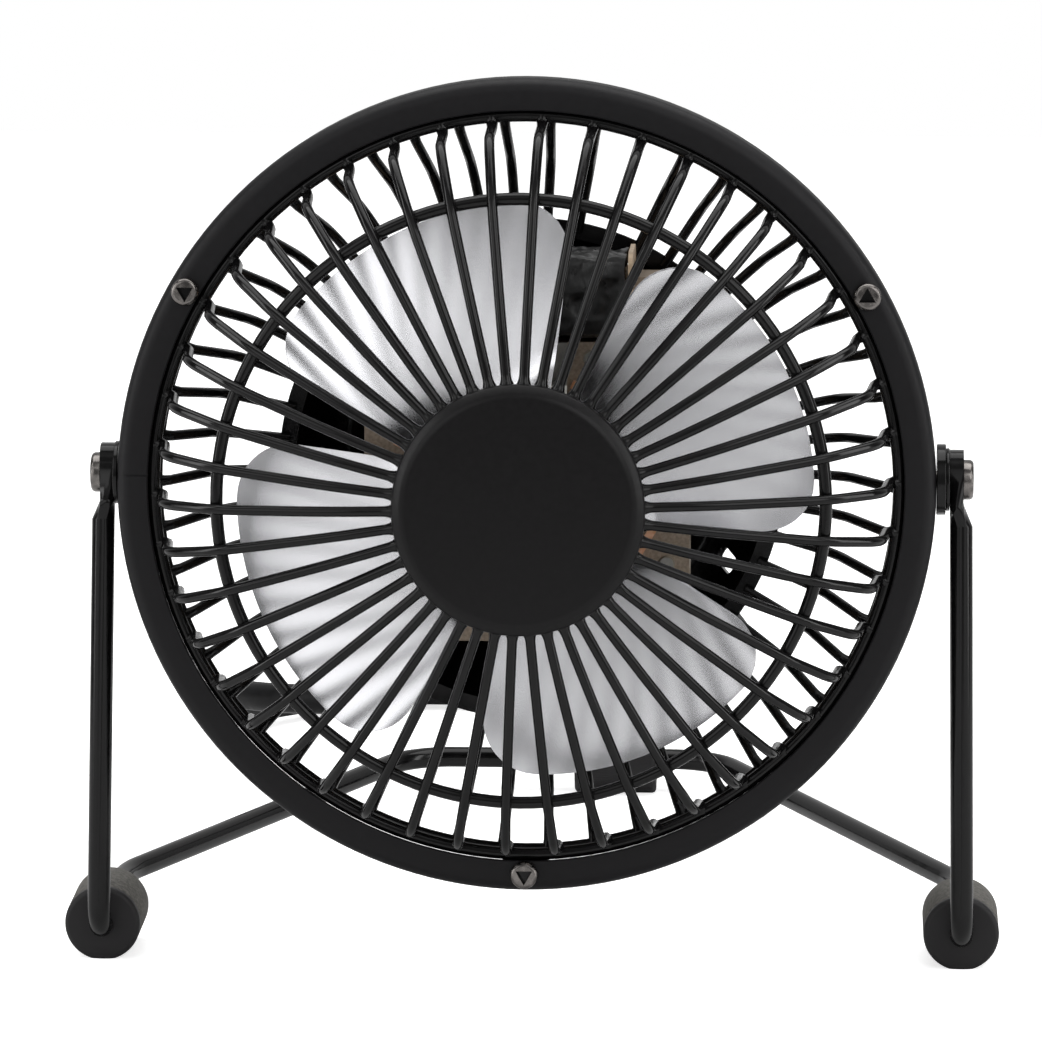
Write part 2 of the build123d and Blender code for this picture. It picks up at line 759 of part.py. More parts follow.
# Stand: one bent rod with flattened eyes at its two ends
drop_to_rod = (eye_neck + eye_taper) / pivot_height_above_rod
rod_top_x = rod_x + upright_splay * drop_to_rod
rod_top_y = pivot_y - upright_lean * drop_to_rod
rod_top_z = pivot_z - eye_neck - eye_taper
half_path = [
    (rod_top_x, rod_top_y, rod_top_z),
    (foot_x, pivot_y - upright_lean, rod_z),
    (foot_x, pivot_y + foot_front + leg_straight, rod_z),
    (rear_bar / 2, pivot_y + stand_rear, rod_z),
]
rod_path = half_path + [(-x, y, z) for x, y, z in reversed(half_path)]
rod_bends = [bottom_bend, leg_bend, rear_bend, rear_bend, leg_bend, bottom_bend]
with BuildPart() as stand_rod:
    with BuildLine():
        FilletPolyline(*rod_path, radius=rod_bends)
    upright = Vector(-upright_splay, upright_lean, pivot_height_above_rod)
    with BuildSketch(Plane(rod_path[0], x_dir=(1, 0, 0), z_dir=upright)):
        Circle(rod_diameter / 2)
    sweep()
    for side in (-1, 1):
        eye_x = side * (eye_inner + eye_thickness / 2)
        rod_top = (side * rod_top_x, rod_top_y, rod_top_z)
        upright = Vector(-side * upright_splay, upright_lean, pivot_height_above_rod)
        with BuildSketch(Plane(rod_top, x_dir=(1, 0, 0), z_dir=upright)):
            Circle(rod_diameter / 2)
        with BuildSketch(Plane((eye_x, pivot_y, pivot_z - eye_neck))):
            Rectangle(eye_thickness, eye_width)
        loft()
        with BuildSketch(Plane((eye_x, pivot_y, pivot_z), x_dir=(0, 1, 0), z_dir=(1, 0, 0))) as eye:
            with Locations((0, (eye_reach - eye_neck) / 2)):
                Rectangle(eye_width, eye_reach + eye_neck)
            fillet(eye.vertices().group_by(Axis.Y)[-1], eye_round)
            Circle(pivot_screw / 2 + running_fit, mode=Mode.SUBTRACT)
        extrude(amount=eye_thickness / 2, both=True)
keep("stand_rod", stand_rod.part)


def foot(start, along):
    """A rubber sleeve on the rod, rounded at both ends and worn flat underneath."""
    with BuildPart() as sleeve:
        with BuildSketch(Plane(start, x_dir=(0, 0, 1), z_dir=along)):
            Circle(foot_diameter / 2)
        extrude(amount=foot_length)
        fillet(sleeve.edges().filter_by(GeomType.CIRCLE), foot_edge)
        with BuildSketch(Plane(start, x_dir=(0, 0, 1), z_dir=along)):
            Circle(rod_diameter / 2 + seat_fit)
        extrude(amount=foot_length, mode=Mode.SUBTRACT)
        split(bisect_by=Plane.XY, keep=Keep.TOP)
    return sleeve.part


front_foot_y = pivot_y + foot_front
keep("left_foot", foot((-foot_x, front_foot_y, rod_z), (0, 1, 0)))
keep("right_foot", foot((foot_x, front_foot_y, rod_z), (0, 1, 0)))
keep("rear_foot", foot((rear_foot_offset - foot_length / 2, pivot_y + stand_rear, rod_z), (1, 0, 0)))


def across(diameter, x_from, x_to):
    """A plain disc or rod along the tilt axis."""
    with BuildPart() as disc:
        with BuildSketch(Plane((x_from, pivot_y, pivot_z), x_dir=(0, 1, 0), z_dir=(1, 0, 0))):
            Circle(diameter / 2)
        extrude(amount=x_to - x_from)
    return disc.part


def across_ring(diameter, x_from, x_to):
    """A washer along the tilt axis."""
    return across(diameter, x_from, x_to) - across(pivot_screw + 2 * hole_fit, x_from, x_to)


# Tilt pivots: a screw, washers and a nut on each side
left_rim = head_x - rim_radius
right_rim = head_x + rim_radius
head_seat = eye_inner + eye_thickness + stack_gap
spacer_end = right_rim + stack_gap + right_spacer
nut_seat = sheet + hole_fit
nut_end = nut_seat + nut_height
screw_end = nut_end + hole_fit
left_seat = left_rim - stack_gap
keep("left_pivot_washer", across_ring(washer_diameter, left_seat - left_washer, left_seat))
keep("right_pivot_spacer", across_ring(spacer_diameter, right_rim + stack_gap, spacer_end))
right_seat = spacer_end + stack_gap
keep("right_pivot_washer", across_ring(washer_diameter, right_seat, right_seat + right_washer))
pivot_screws = []
pivot_nuts = []
for side, rim in ((-1, left_rim), (1, right_rim)):
    with BuildPart() as screw:
        add(across(pivot_head, side * head_seat, side * (head_seat + pivot_head_height)))
        fillet(screw.edges().sort_by(Axis.X)[-1 if side > 0 else 0], pivot_head_height * 0.45)
        add(across(pivot_screw, side * head_seat, rim - side * screw_end))
    pivot_screws.append(screw.part)
    with BuildPart() as nut:
        nut_place = (rim - side * nut_seat, pivot_y, pivot_z)
        with BuildSketch(Plane(nut_place, x_dir=(0, 1, 0), z_dir=(-side, 0, 0))):
            RegularPolygon(nut_flats / 2, 6, major_radius=False)
            Circle(pivot_screw / 2 + running_fit, mode=Mode.SUBTRACT)
        extrude(amount=nut_height)
    pivot_nuts.append(nut.part)
keep("pivot_screws", Compound(children=pivot_screws))
keep("pivot_nuts", Compound(children=pivot_nuts))

# Mains lead: from the strain relief down behind the fan and along the table to the coil
cord_point = cord_diameter / 2 * hex_point
coil_z = cord_point + tie_wall + 2 * stack_gap
lead_start = HEAD.from_local_coords((0, -gland_drop, housing_back_d - gland_length - seat_fit))
lead_path = [
    lead_start,
    lead_start - forward * 24,
    (-1, 55.5, 61.5),
    (-8, 61, 36),
    (-29, 61, 21.5),
    (-50, 71, 19.5),
    (-61, 91, 13.5),
    (-62.5, 109, 7.5),
    (-61.5, 127, 4.2),
    (-51.5, 143, coil_z),
    (-35, 152, coil_z),
    (coil_x - cord_gap, coil_y - coil_radius, coil_z),
]


def bend_radii(path):
    """The largest radius that each corner of a path leaves room for."""
    radii = []
    for before, corner, after in zip(path, path[1:], path[2:]):
        first = Vector(corner) - Vector(before)
        second = Vector(after) - Vector(corner)
        half_turn = math.radians(first.get_angle(second)) / 2
        radii.append(0.45 * min(first.length, second.length) / math.tan(half_turn))
    return radii


lead_radii = bend_radii(lead_path)
print("lead bend radii:", [round(radius, 1) for radius in lead_radii])
with BuildPart() as cord_lead:
    with BuildLine() as lead_line:
        FilletPolyline(*lead_path, radius=lead_radii)
    with BuildSketch(Plane(lead_start, x_dir=upward, z_dir=-forward)):
        RegularPolygon(cord_point, 6)
    sweep()
hexagon = 1.5 * math.sqrt(3) * cord_point * cord_point
lead_length = sum(edge.length for edge in lead_line.edges())
print("lead volume over section times length:", cord_lead.part.volume / hexagon / lead_length)
keep("cord_lead", cord_lead.part)


coil_end = coil_turns + coil_tail


def coil_place(t):
    """Where the wound cord runs after t turns: inwards below, outwards above, then off to the plug."""
    half = coil_turns / 2
    angle = math.radians(270 + 360 * t)
    u = min(t, coil_turns) - half
    inner = coil_radius - coil_step * half
    share = min(max((u / coil_blend + 1) / 2, 0), 1)
    climb = share * share * (3 - 2 * share)
    if abs(u) < coil_blend:
        radius = inner + coil_step * (u * u / coil_blend + coil_blend) / 2
    else:
        radius = inner + coil_step * abs(u)
    height = coil_z + coil_layer * climb
    if t > coil_turns:
        away = min((t - coil_turns) / coil_tail, 1)
        ease = away * away * (3 - 2 * away)
        radius += (coil_tail_radius - coil_radius) * ease
        height += (plug_height / 2 + 2 * stack_gap - height) * ease
    return Vector(coil_x + radius * math.cos(angle), coil_y + radius * math.sin(angle), height)


def heading(t):
    """Which way the wound cord points after t turns."""
    step = 1e-4
    return (coil_place(t + step) - coil_place(t - step)).normalized()


def coil_gap(samples_a_turn=36):
    """The least gap of the wound cord to itself, from points along its middle."""
    turns = [i / samples_a_turn for i in range(int(coil_end * samples_a_turn) + 1)]
    places = [coil_place(t) for t in turns]
    least = math.inf
    for i, here in enumerate(places):
        for there in places[i + samples_a_turn // 2 :]:
            apart = there - here
            lean = math.degrees(math.acos(min(1, abs(apart.Z) / apart.length)))
            half_width = cord_point * math.cos(math.radians((lean + 30) % 60 - 30))
            least = min(least, apart.length - 2 * half_width)
    return least


coil_steps = 8 * coil_turns + 3
print("least gap in the coil:", round(coil_gap(), 2))
with BuildPart() as cord_coil:
    with BuildLine() as coil_line:
        for i in range(coil_steps):
            t0 = i * coil_end / coil_steps
            t1 = (i + 1) * coil_end / coil_steps
            p0 = coil_place(t0)
            p1 = coil_place(t1)
            h0 = heading(t0)
            h1 = heading(t1)
            span = p1 - p0
            both = h0 + h1
            bend = 2 * (1 - h0.dot(h1))
            reach = span.dot(both)
            arm = (math.sqrt(reach * reach + bend * span.dot(span)) - reach) / bend
            middle = (p0 + h0 * arm + p1 - h1 * arm) * 0.5
            first = TangentArc(p0, middle, tangent=h0)
            TangentArc(middle, p1, tangent=first % 1)
    with BuildSketch(Plane(coil_place(0), x_dir=(0, 0, 1), z_dir=heading(0))):
        RegularPolygon(cord_point, 6)
    sweep()
keep("cord_coil", cord_coil.part)

# Tie round the coil, plug lying on the table behind it
tie_out = Vector(math.cos(math.radians(tie_angle)), math.sin(math.radians(tie_angle)), 0)
tie_turn = (tie_angle - 270) % 360 / 360
tie_inner = coil_radius - coil_step * (tie_turn + coil_turns / 2 - 1) - cord_point - 2 * stack_gap
tie_outer = coil_radius - coil_step * (1 - tie_turn) + cord_point + 2 * stack_gap
tie_low = coil_z - cord_point - stack_gap
tie_high = coil_z + coil_layer + cord_point + stack_gap
tie_centre = Vector(coil_x, coil_y, (tie_low + tie_high) / 2)
tie_middle = tie_centre + tie_out * ((tie_inner + tie_outer) / 2)
with BuildPart() as cord_tie:
    with BuildSketch(Plane(tie_middle, x_dir=tie_out, z_dir=tie_out.cross(Vector(0, 0, 1)))):
        Rectangle(tie_outer - tie_inner + 2 * tie_wall, tie_high - tie_low + 2 * tie_wall)
        Rectangle(tie_outer - tie_inner, tie_high - tie_low, mode=Mode.SUBTRACT)
    extrude(amount=tie_width / 2, both=True)
keep("cord_tie", cord_tie.part)

plug_way = heading(coil_end + 0.01)
plug_way = Vector(plug_way.X, plug_way.Y, 0).normalized()
tail_end = coil_place(coil_end)
PLUG = Plane(tail_end, x_dir=plug_way.cross(Vector(0, 0, 1)), z_dir=plug_way)
with BuildPart() as mains_plug:
    with BuildSketch(PLUG.offset(cord_gap + plug_run)):
        RectangleRounded(plug_neck, plug_neck, plug_neck_corner)
    with BuildSketch(PLUG.offset(cord_gap + plug_run + plug_nose)):
        RectangleRounded(plug_width, plug_height, plug_corner)
    loft()
    with BuildSketch(PLUG.offset(cord_gap + plug_run + plug_nose)):
        RectangleRounded(plug_width, plug_height, plug_corner)
    extrude(amount=plug_length - plug_nose)
    with BuildSketch(PLUG.offset(cord_gap)):
        Circle(cord_diameter / 2)
    extrude(amount=plug_run + plug_nose)
keep("mains_plug", mains_plug.part)

with BuildPart() as plug_pins:
    with BuildSketch(PLUG.offset(cord_gap + plug_run + plug_length + seat_fit)):
        with GridLocations(pin_spacing, 1, 2, 1):
            Circle(pin_diameter / 2)
    extrude(amount=pin_length)
    pin_rims = plug_pins.edges().filter_by(GeomType.CIRCLE).sort_by(Axis(tail_end, plug_way))
    fillet(pin_rims[-2:], pin_diameter / 5)
keep("plug_pins", plug_pins.part)

if __name__ == "__main__":
    os.makedirs("parts", exist_ok=True)
    for name, shape in pieces.items():
        export_step(shape, f"parts/{name}.step")
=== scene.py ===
"""Small metal desk fan on a tilting bent-rod stand, dressed for a studio picture.

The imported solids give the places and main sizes. Lengths are in metres unless a name or a comment says
millimetres. Places on the fan's head are given as a radius from the shaft, a distance d forwards of the
rim's front face and a clock angle, in degrees clockwise from the top as seen from the front.
"""

import json
import math

import bmesh
import bpy
from bpy.props import FloatProperty, FloatVectorProperty, IntProperty, PointerProperty
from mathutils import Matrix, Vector


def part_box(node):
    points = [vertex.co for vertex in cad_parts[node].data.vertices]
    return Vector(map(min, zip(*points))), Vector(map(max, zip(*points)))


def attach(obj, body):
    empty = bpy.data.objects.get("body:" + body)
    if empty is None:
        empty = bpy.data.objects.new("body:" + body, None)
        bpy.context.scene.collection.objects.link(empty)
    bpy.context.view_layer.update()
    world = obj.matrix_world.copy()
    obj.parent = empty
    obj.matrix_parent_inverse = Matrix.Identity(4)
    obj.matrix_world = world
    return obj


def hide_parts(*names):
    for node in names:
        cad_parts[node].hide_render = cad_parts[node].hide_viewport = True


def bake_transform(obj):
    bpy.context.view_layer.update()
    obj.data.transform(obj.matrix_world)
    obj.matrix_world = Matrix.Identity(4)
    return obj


bl_info = {
    "name": "Metal desk fan",
    "version": (1, 0, 0),
    "blender": (4, 5, 0),
    "location": "View3D > Sidebar > Desk fan",
    "description": "Builds a small metal desk fan round its solids",
    "category": "Object",
}

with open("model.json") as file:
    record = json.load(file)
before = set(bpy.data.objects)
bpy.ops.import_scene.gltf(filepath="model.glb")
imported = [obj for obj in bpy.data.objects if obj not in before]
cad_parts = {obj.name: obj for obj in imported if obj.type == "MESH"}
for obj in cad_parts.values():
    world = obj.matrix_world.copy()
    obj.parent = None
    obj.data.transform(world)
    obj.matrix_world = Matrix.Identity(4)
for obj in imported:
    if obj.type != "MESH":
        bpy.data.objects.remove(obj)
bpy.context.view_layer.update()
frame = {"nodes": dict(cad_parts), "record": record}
MM = 0.001

# Places read from the joints: the head leans back a little on its pivots
joints = {joint["name"]: joint for joint in frame["record"]["behaviour"]["joints"]}
PIVOT = Vector(joints["head_tilt"]["pos_m"])
SHAFT = Vector(joints["fan_spin"]["pos_m"])
SHAFT_WAY = Vector(joints["fan_spin"]["axis"])
FORWARD = -SHAFT_WAY
RIGHT = Vector((1, 0, 0))
UPWARD = FORWARD.cross(RIGHT)
HEAD_TURN = SHAFT_WAY.to_track_quat("Z", "Y").to_euler()


def head_place(radius_mm, d_mm, clock=90.0):
    """A place on the fan's head, from its radius, distance forwards and clock angle."""
    turn = math.radians(clock)
    out = RIGHT * math.sin(turn) + UPWARD * math.cos(turn)
    return SHAFT + out * radius_mm * MM + FORWARD * d_mm * MM


def head_reach(place):
    """The radius and the distance forwards of a place on the head, in millimetres."""
    offset = Vector(place) - SHAFT
    d = offset.dot(FORWARD)
    return (offset - FORWARD * d).length / MM, d / MM


def linear(code):
    """A linear colour from an sRGB hex value."""
    channels = [int(code[i : i + 2], 16) / 255 for i in (1, 3, 5)]
    curve = [c / 12.92 if c <= 0.04045 else ((c + 0.055) / 1.055) ** 2.4 for c in channels]
    return (*curve, 1.0)


# Sizes and colours that a user would change


class FanSizes(bpy.types.PropertyGroup):
    """Sizes of the dressed fan."""

    front_wires: IntProperty(
        name="Front wires", description="Number of wires in the front guard",
        default=46, min=12,
    )
    rear_wires: IntProperty(
        name="Rear wires", description="Number of wires in the rear guard",
        default=50, min=12,
    )
    wire: FloatProperty(
        name="Wire", description="Thickness of a guard wire",
        default=1.8 * MM, unit="LENGTH",
    )
    ring: FloatProperty(
        name="Ring", description="Thickness of a guard ring",
        default=2.2 * MM, unit="LENGTH",
    )
    lead: FloatProperty(
        name="Mains lead", description="Thickness of the mains lead",
        default=5.8 * MM, unit="LENGTH",
    )
    blades: IntProperty(
        name="Blades", description="Number of blades on the fan",
        default=4, min=2,
    )
    blade_span: FloatProperty(
        name="Blade span", description="Diameter over the blade tips",
        default=100.6 * MM, unit="LENGTH",
    )
    lens: FloatProperty(
        name="Lens", description="Focal length of the camera in millimetres",
        default=226.29, unit="CAMERA",
    )


class FanColours(bpy.types.PropertyGroup):
    """Colours of the finishes."""

    rim: FloatVectorProperty(
        name="Rim coat", description="Powder coat on the rim band",
        default=linear("#100f11"), size=4, subtype="COLOR",
    )
    wire: FloatVectorProperty(
        name="Wire enamel", description="Stoved enamel on wires, rod and housing",
        default=linear("#0a090a"), size=4, subtype="COLOR",
    )
    hub: FloatVectorProperty(
        name="Hub disc", description="Satin paint on the hub disc",
        default=linear("#0d0c0d"), size=4, subtype="COLOR",
    )
    blade: FloatVectorProperty(
        name="Blade", description="Bright aluminium sheet",
        default=linear("#d9d9dc"), size=4, subtype="COLOR",
    )
    core: FloatVectorProperty(
        name="Stator core", description="Raw lamination steel",
        default=linear("#9a8c7c"), size=4, subtype="COLOR",
    )
    rubber: FloatVectorProperty(
        name="Feet", description="Rubber of the feet",
        default=linear("#565450"), size=4, subtype="COLOR",
    )
    # The cap's colour also covers the whole rear foot as painted shade
    cap: FloatVectorProperty(
        name="Foot cap", description="Smooth black cap on a foot's end",
        default=linear("#151415"), size=4, subtype="COLOR",
    )
    lead: FloatVectorProperty(
        name="Mains lead", description="PVC sheath of the lead",
        default=linear("#0d0d0e"), size=4, subtype="COLOR",
    )


# Small helpers for selecting, drawing and finishing

# Vertices closer than the reach are one, and edges bent by less than a crease are shaded smooth
WELD_REACH = 1e-6
TURNED_CREASE = 50.0
SOLID_CREASE = 32.0
ROUND_CREASE = 60.0


def clear_selection():
    """Leave edit mode and deselect everything."""
    if bpy.context.object and bpy.context.object.mode != "OBJECT":
        bpy.ops.object.mode_set(mode="OBJECT")
    bpy.ops.object.select_all(action="DESELECT")


def take(piece):
    """Select one piece alone and make it active."""
    clear_selection()
    piece.select_set(True)
    bpy.context.view_layer.objects.active = piece


def edit_all(piece):
    """Open a piece in edit mode with everything selected."""
    take(piece)
    bpy.ops.object.mode_set(mode="EDIT")
    bpy.ops.mesh.select_all(action="SELECT")


def pick_verts(piece, test):
    """In edit mode, select only the vertices that pass a test."""
    mesh = bmesh.from_edit_mesh(piece.data)
    for group in (mesh.verts, mesh.edges, mesh.faces):
        for part in group:
            part.select_set(False)
    for vert in mesh.verts:
        if test(vert):
            vert.select_set(True)
    bmesh.update_edit_mesh(piece.data)


def trace(name, points):
    """Draw a line of edges through the points, a vertex at a time, and stay in edit mode."""
    clear_selection()
    bpy.ops.mesh.primitive_plane_add(size=MM)
    piece = bpy.context.object
    piece.name = name
    piece.data.name = name
    bpy.ops.object.mode_set(mode="EDIT")
    bpy.ops.mesh.merge(type="CENTER")
    bpy.ops.transform.translate(value=points[0])
    for here, there in zip(points, points[1:]):
        step = Vector(there) - Vector(here)
        bpy.ops.mesh.extrude_vertices_move(TRANSFORM_OT_translate={"value": step})
    return piece


def round_bend(piece, place, reach_mm, segments):
    """Round one corner of a traced line, starting the given reach before it."""
    at_corner = 1e-5
    pick_verts(piece, lambda vert: (vert.co - Vector(place)).length < at_corner)
    bpy.ops.mesh.bevel(offset_type="OFFSET", offset=reach_mm * MM, segments=segments, affect="VERTICES")


def smooth(piece, crease=40.0):
    """Shade a piece smooth, keeping edges sharper than the crease angle."""
    take(piece)
    bpy.ops.object.shade_smooth_by_angle(angle=math.radians(crease))


def soften(piece, width_mm, crease):
    """Round a piece's sharp edges with an applied bevel."""
    take(piece)
    bevel = piece.modifiers.new("edges", "BEVEL")
    bevel.width = width_mm * MM
    bevel.segments = 2
    bevel.limit_method = "ANGLE"
    bevel.angle_limit = math.radians(crease)
    bpy.ops.object.modifier_apply(modifier="edges")
    smooth(piece)


def close_up(piece):
    """Merge doubles, turn the faces outwards and shade the piece."""
    edit_all(piece)
    bpy.ops.mesh.remove_doubles(threshold=WELD_REACH)
    bpy.ops.mesh.normals_make_consistent(inside=False)
    smooth(piece, TURNED_CREASE)


def lathe(name, section, bends=(), centre=SHAFT, steps=128):
    """Turn a section about the shaft's direction.

    The section holds radii and distances forwards of the centre, in millimetres. A bend is the index of
    a corner, the reach of its round in millimetres and the segments in it.
    """
    points = [centre + RIGHT * radius * MM + FORWARD * d * MM for radius, d in section]
    piece = trace(name, points)
    for corner, reach_mm, segments in bends:
        round_bend(piece, points[corner], reach_mm, segments)
    bpy.ops.mesh.select_all(action="SELECT")
    bpy.ops.mesh.spin(steps=steps, angle=math.tau, center=centre, axis=SHAFT_WAY)
    close_up(piece)
    return piece


def copy_round(piece, count):
    """Repeat a piece's mesh evenly about the shaft."""
    edit_all(piece)
    turn = math.tau * (count - 1) / count
    bpy.ops.mesh.spin(steps=count - 1, dupli=True, angle=turn, center=SHAFT, axis=SHAFT_WAY)
    bpy.ops.object.mode_set(mode="OBJECT")


def weld_into(piece, other):
    """Join another mesh into a piece."""
    take(piece)
    other.select_set(True)
    bpy.ops.object.join()


def from_solid(node, name, edge_mm=0.0):
    """A piece on a node's solid, its facets merged and its edges softened."""
    flat_angle = 0.5
    facet_reach = 2e-6
    piece = bpy.data.objects.new(name, frame["nodes"][node].data.copy())
    bpy.context.scene.collection.objects.link(piece)
    piece.data.materials.clear()
    edit_all(piece)
    bpy.ops.mesh.remove_doubles(threshold=facet_reach)
    bpy.ops.mesh.dissolve_limited(angle_limit=math.radians(flat_angle))
    smooth(piece, SOLID_CREASE)
    if edge_mm:
        soften(piece, edge_mm, SOLID_CREASE)
    return piece


def sink(piece, *cutters):
    """Cut other shapes out of a piece and take them away."""
    for cutter in cutters:
        take(piece)
        cut = piece.modifiers.new("cut", "BOOLEAN")
        cut.operation = "DIFFERENCE"
        cut.solver = "EXACT"
        cut.object = cutter
        bpy.ops.object.modifier_apply(modifier="cut")
        bpy.data.objects.remove(cutter)


def block(place, sizes_mm, turn):
    """A cutter of the given size about a place."""
    clear_selection()
    bpy.ops.mesh.primitive_cube_add(size=MM, location=place, rotation=turn)
    cutter = bpy.context.object
    cutter.scale = sizes_mm
    bpy.context.view_layer.update()
    return cutter


def settle(piece, body, finish, slot, *nodes):
    """Give a piece its finish and body, and hide the nodes it stands for; its slot is not used."""
    clear_selection()
    piece.data.materials.clear()
    piece.data.materials.append(FINISHES[finish])
    if body:
        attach(piece, body)
    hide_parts(*nodes)


def coat(finish, *nodes):
    """Give nodes that stay in view their finish."""
    for node in nodes:
        solid = frame["nodes"][node]
        solid.data.materials.clear()
        solid.data.materials.append(FINISHES[finish])


# Materials

FINISHES = {}


def add(tree, kind, inputs=(), **settings):
    """Add one node with its settings, and link or set its inputs."""
    made = tree.nodes.new(kind)
    for key, value in settings.items():
        setattr(made, key, value)
    for key, value in dict(inputs).items():
        if isinstance(value, bpy.types.NodeSocket):
            tree.links.new(value, made.inputs[key])
        else:
            made.inputs[key].default_value = value
    return made


def finish_of(name, sockets):
    """A new material with the plain values of its shader set."""
    made = bpy.data.materials.new(name)
    made.use_nodes = True
    shader = made.node_tree.nodes["Principled BSDF"]
    for key, value in sockets.items():
        shader.inputs[key].default_value = value
    return made, made.node_tree, shader


def per_mm(size_mm):
    """A noise scale whose features are about the given size."""
    return 1 / (size_mm * MM)


def shades(colour, *gains):
    """The sRGB hex values of a linear colour, made darker or lighter by each gain."""
    curve = [12.92 * c if c <= 0.0031308 else 1.055 * c ** (1 / 2.4) - 0.055 for c in colour[:3]]
    whole = [round(255 * c) for c in curve]
    gained = [[min(255, round(part * gain)) for part in whole] for gain in gains]
    return ["#{:02x}{:02x}{:02x}".format(*parts) for parts in gained]


def mottled(
    name, sockets, scale, tones, roughness, bump_mm=0.0,
    uv_map="", stretch=(1, 1, 1), detail=4.0, spread=(0.35, 0.65),
):
    """A finish whose colour, roughness and bump follow one noise of a real size."""
    made, tree, shader = finish_of(name, sockets)
    if uv_map:
        place = add(tree, "ShaderNodeUVMap", uv_map=uv_map).outputs["UV"]
    else:
        place = add(tree, "ShaderNodeTexCoord").outputs["Object"]
    moved = add(tree, "ShaderNodeMapping", {"Vector": place, "Scale": stretch})
    noise_inputs = {"Vector": moved.outputs["Vector"], "Scale": scale, "Detail": detail}
    height = add(tree, "ShaderNodeTexNoise", noise_inputs).outputs["Fac"]

    ramp = add(tree, "ShaderNodeValToRGB", {"Fac": height})
    for stop, position, code in zip(ramp.color_ramp.elements, spread, tones):
        stop.position = position
        stop.color = linear(code)
    tree.links.new(ramp.outputs["Color"], shader.inputs["Base Color"])

    # Most of the noise lies between these two heights
    range_inputs = {"Value": height, "From Min": 0.3, "From Max": 0.7}
    range_inputs |= {"To Min": roughness[0], "To Max": roughness[1]}
    rough = add(tree, "ShaderNodeMapRange", range_inputs)
    tree.links.new(rough.outputs["Result"], shader.inputs["Roughness"])
    if bump_mm:
        bump = add(tree, "ShaderNodeBump", {"Height": height, "Strength": 0.5, "Distance": bump_mm * MM})
        tree.links.new(bump.outputs["Normal"], shader.inputs["Normal"])
    return made


def make_coats(colours):
    """Paints and coats on steel."""
    made = {}
    # Powder coat: a fine pebble that breaks reflections into a soft sheen
    made["powder_coat"] = mottled(
        "satin_powder_coat", {"IOR": 1.5, "Specular IOR Level": 0.2},
        scale=per_mm(1.1), tones=shades(colours.rim, 0.94, 1.08), roughness=(0.42, 0.52), bump_mm=0.03,
    )
    # Stoved enamel: glossy black over drawn wire, with a slight orange peel
    made["enamel"] = mottled(
        "stoved_black_enamel", {"IOR": 1.52, "Specular IOR Level": 0.22},
        scale=per_mm(2.2), tones=shades(colours.wire, 0.85, 1.2), roughness=(0.12, 0.22), bump_mm=0.02,
    )
    # Satin paint on the hub disc: smooth, with a broad soft highlight
    made["hub_paint"] = mottled(
        "satin_hub_paint", {"IOR": 1.48, "Specular IOR Level": 0.18},
        scale=per_mm(0.9), tones=shades(colours.hub, 0.94, 1.08), roughness=(0.32, 0.4), bump_mm=0.01,
    )
    return made


def make_metals(colours):
    """Bare and plated metals."""
    # A streak of the blades' grain is about 2 mm by 0.4 mm, on a blade of about 60 mm by 40 mm
    streaks_across = 30
    streaks_along = 110
    made = {}
    # Rolled aluminium sheet: soft broad reflections broken by short grain across each blade
    made["aluminium"] = mottled(
        "rolled_bright_aluminium", {"Metallic": 1.0},
        scale=1.0, tones=shades(colours.blade, 0.99, 1.005), roughness=(0.25, 0.265),
        uv_map="UVMap", stretch=(streaks_across, streaks_along, 1), detail=2.0, spread=(0.25, 0.75),
    )
    # Lamination steel: dull grey-brown with mill scale specks
    made["core_steel"] = mottled(
        "lamination_steel", {"Metallic": 0.75},
        scale=per_mm(0.5), tones=shades(colours.core, 0.9, 1.08), roughness=(0.4, 0.52), bump_mm=0.02,
        detail=8.0,
    )
    # Zinc plate: pale, faintly cloudy
    made["zinc"] = mottled(
        "bright_zinc_plate", {"Metallic": 1.0},
        scale=per_mm(2.5), tones=("#9c9b95", "#bdbcb6"), roughness=(0.26, 0.4), bump_mm=0.01,
    )
    # Ground steel of shaft and rotor: grey, with fine marks round the axis
    made["ground_steel"] = mottled(
        "ground_steel", {"Metallic": 1.0},
        scale=per_mm(0.6), tones=("#83837f", "#a3a29e"), roughness=(0.25, 0.38), bump_mm=0.01,
        stretch=(1, 8, 1),
    )
    # Dark nickel on the screws: mirror-like with soft wear
    made["nickel"] = mottled(
        "dark_nickel_plate", {"Metallic": 1.0},
        scale=per_mm(1.4), tones=("#5d5a58", "#7d7976"), roughness=(0.18, 0.32), bump_mm=0.01,
    )
    # Nickel on the plug's pins: pale and smooth
    made["plate"] = mottled(
        "plated_pins", {"Metallic": 1.0},
        scale=per_mm(1.8), tones=("#a8a69e", "#c9c7bf"), roughness=(0.2, 0.32), bump_mm=0.01,
    )
    # Copper shading loops: warm, slightly tarnished
    made["copper"] = mottled(
        "drawn_copper", {"Metallic": 1.0},
        scale=per_mm(1.2), tones=("#cf9068", "#ebbd9c"), roughness=(0.26, 0.4), bump_mm=0.02,
    )
    # Sintered bronze bearings: oily and porous
    made["bronze"] = mottled(
        "sintered_bronze", {"Metallic": 0.9},
        scale=per_mm(0.4), tones=("#6e5334", "#94724a"), roughness=(0.4, 0.55), bump_mm=0.02,
    )
    return made


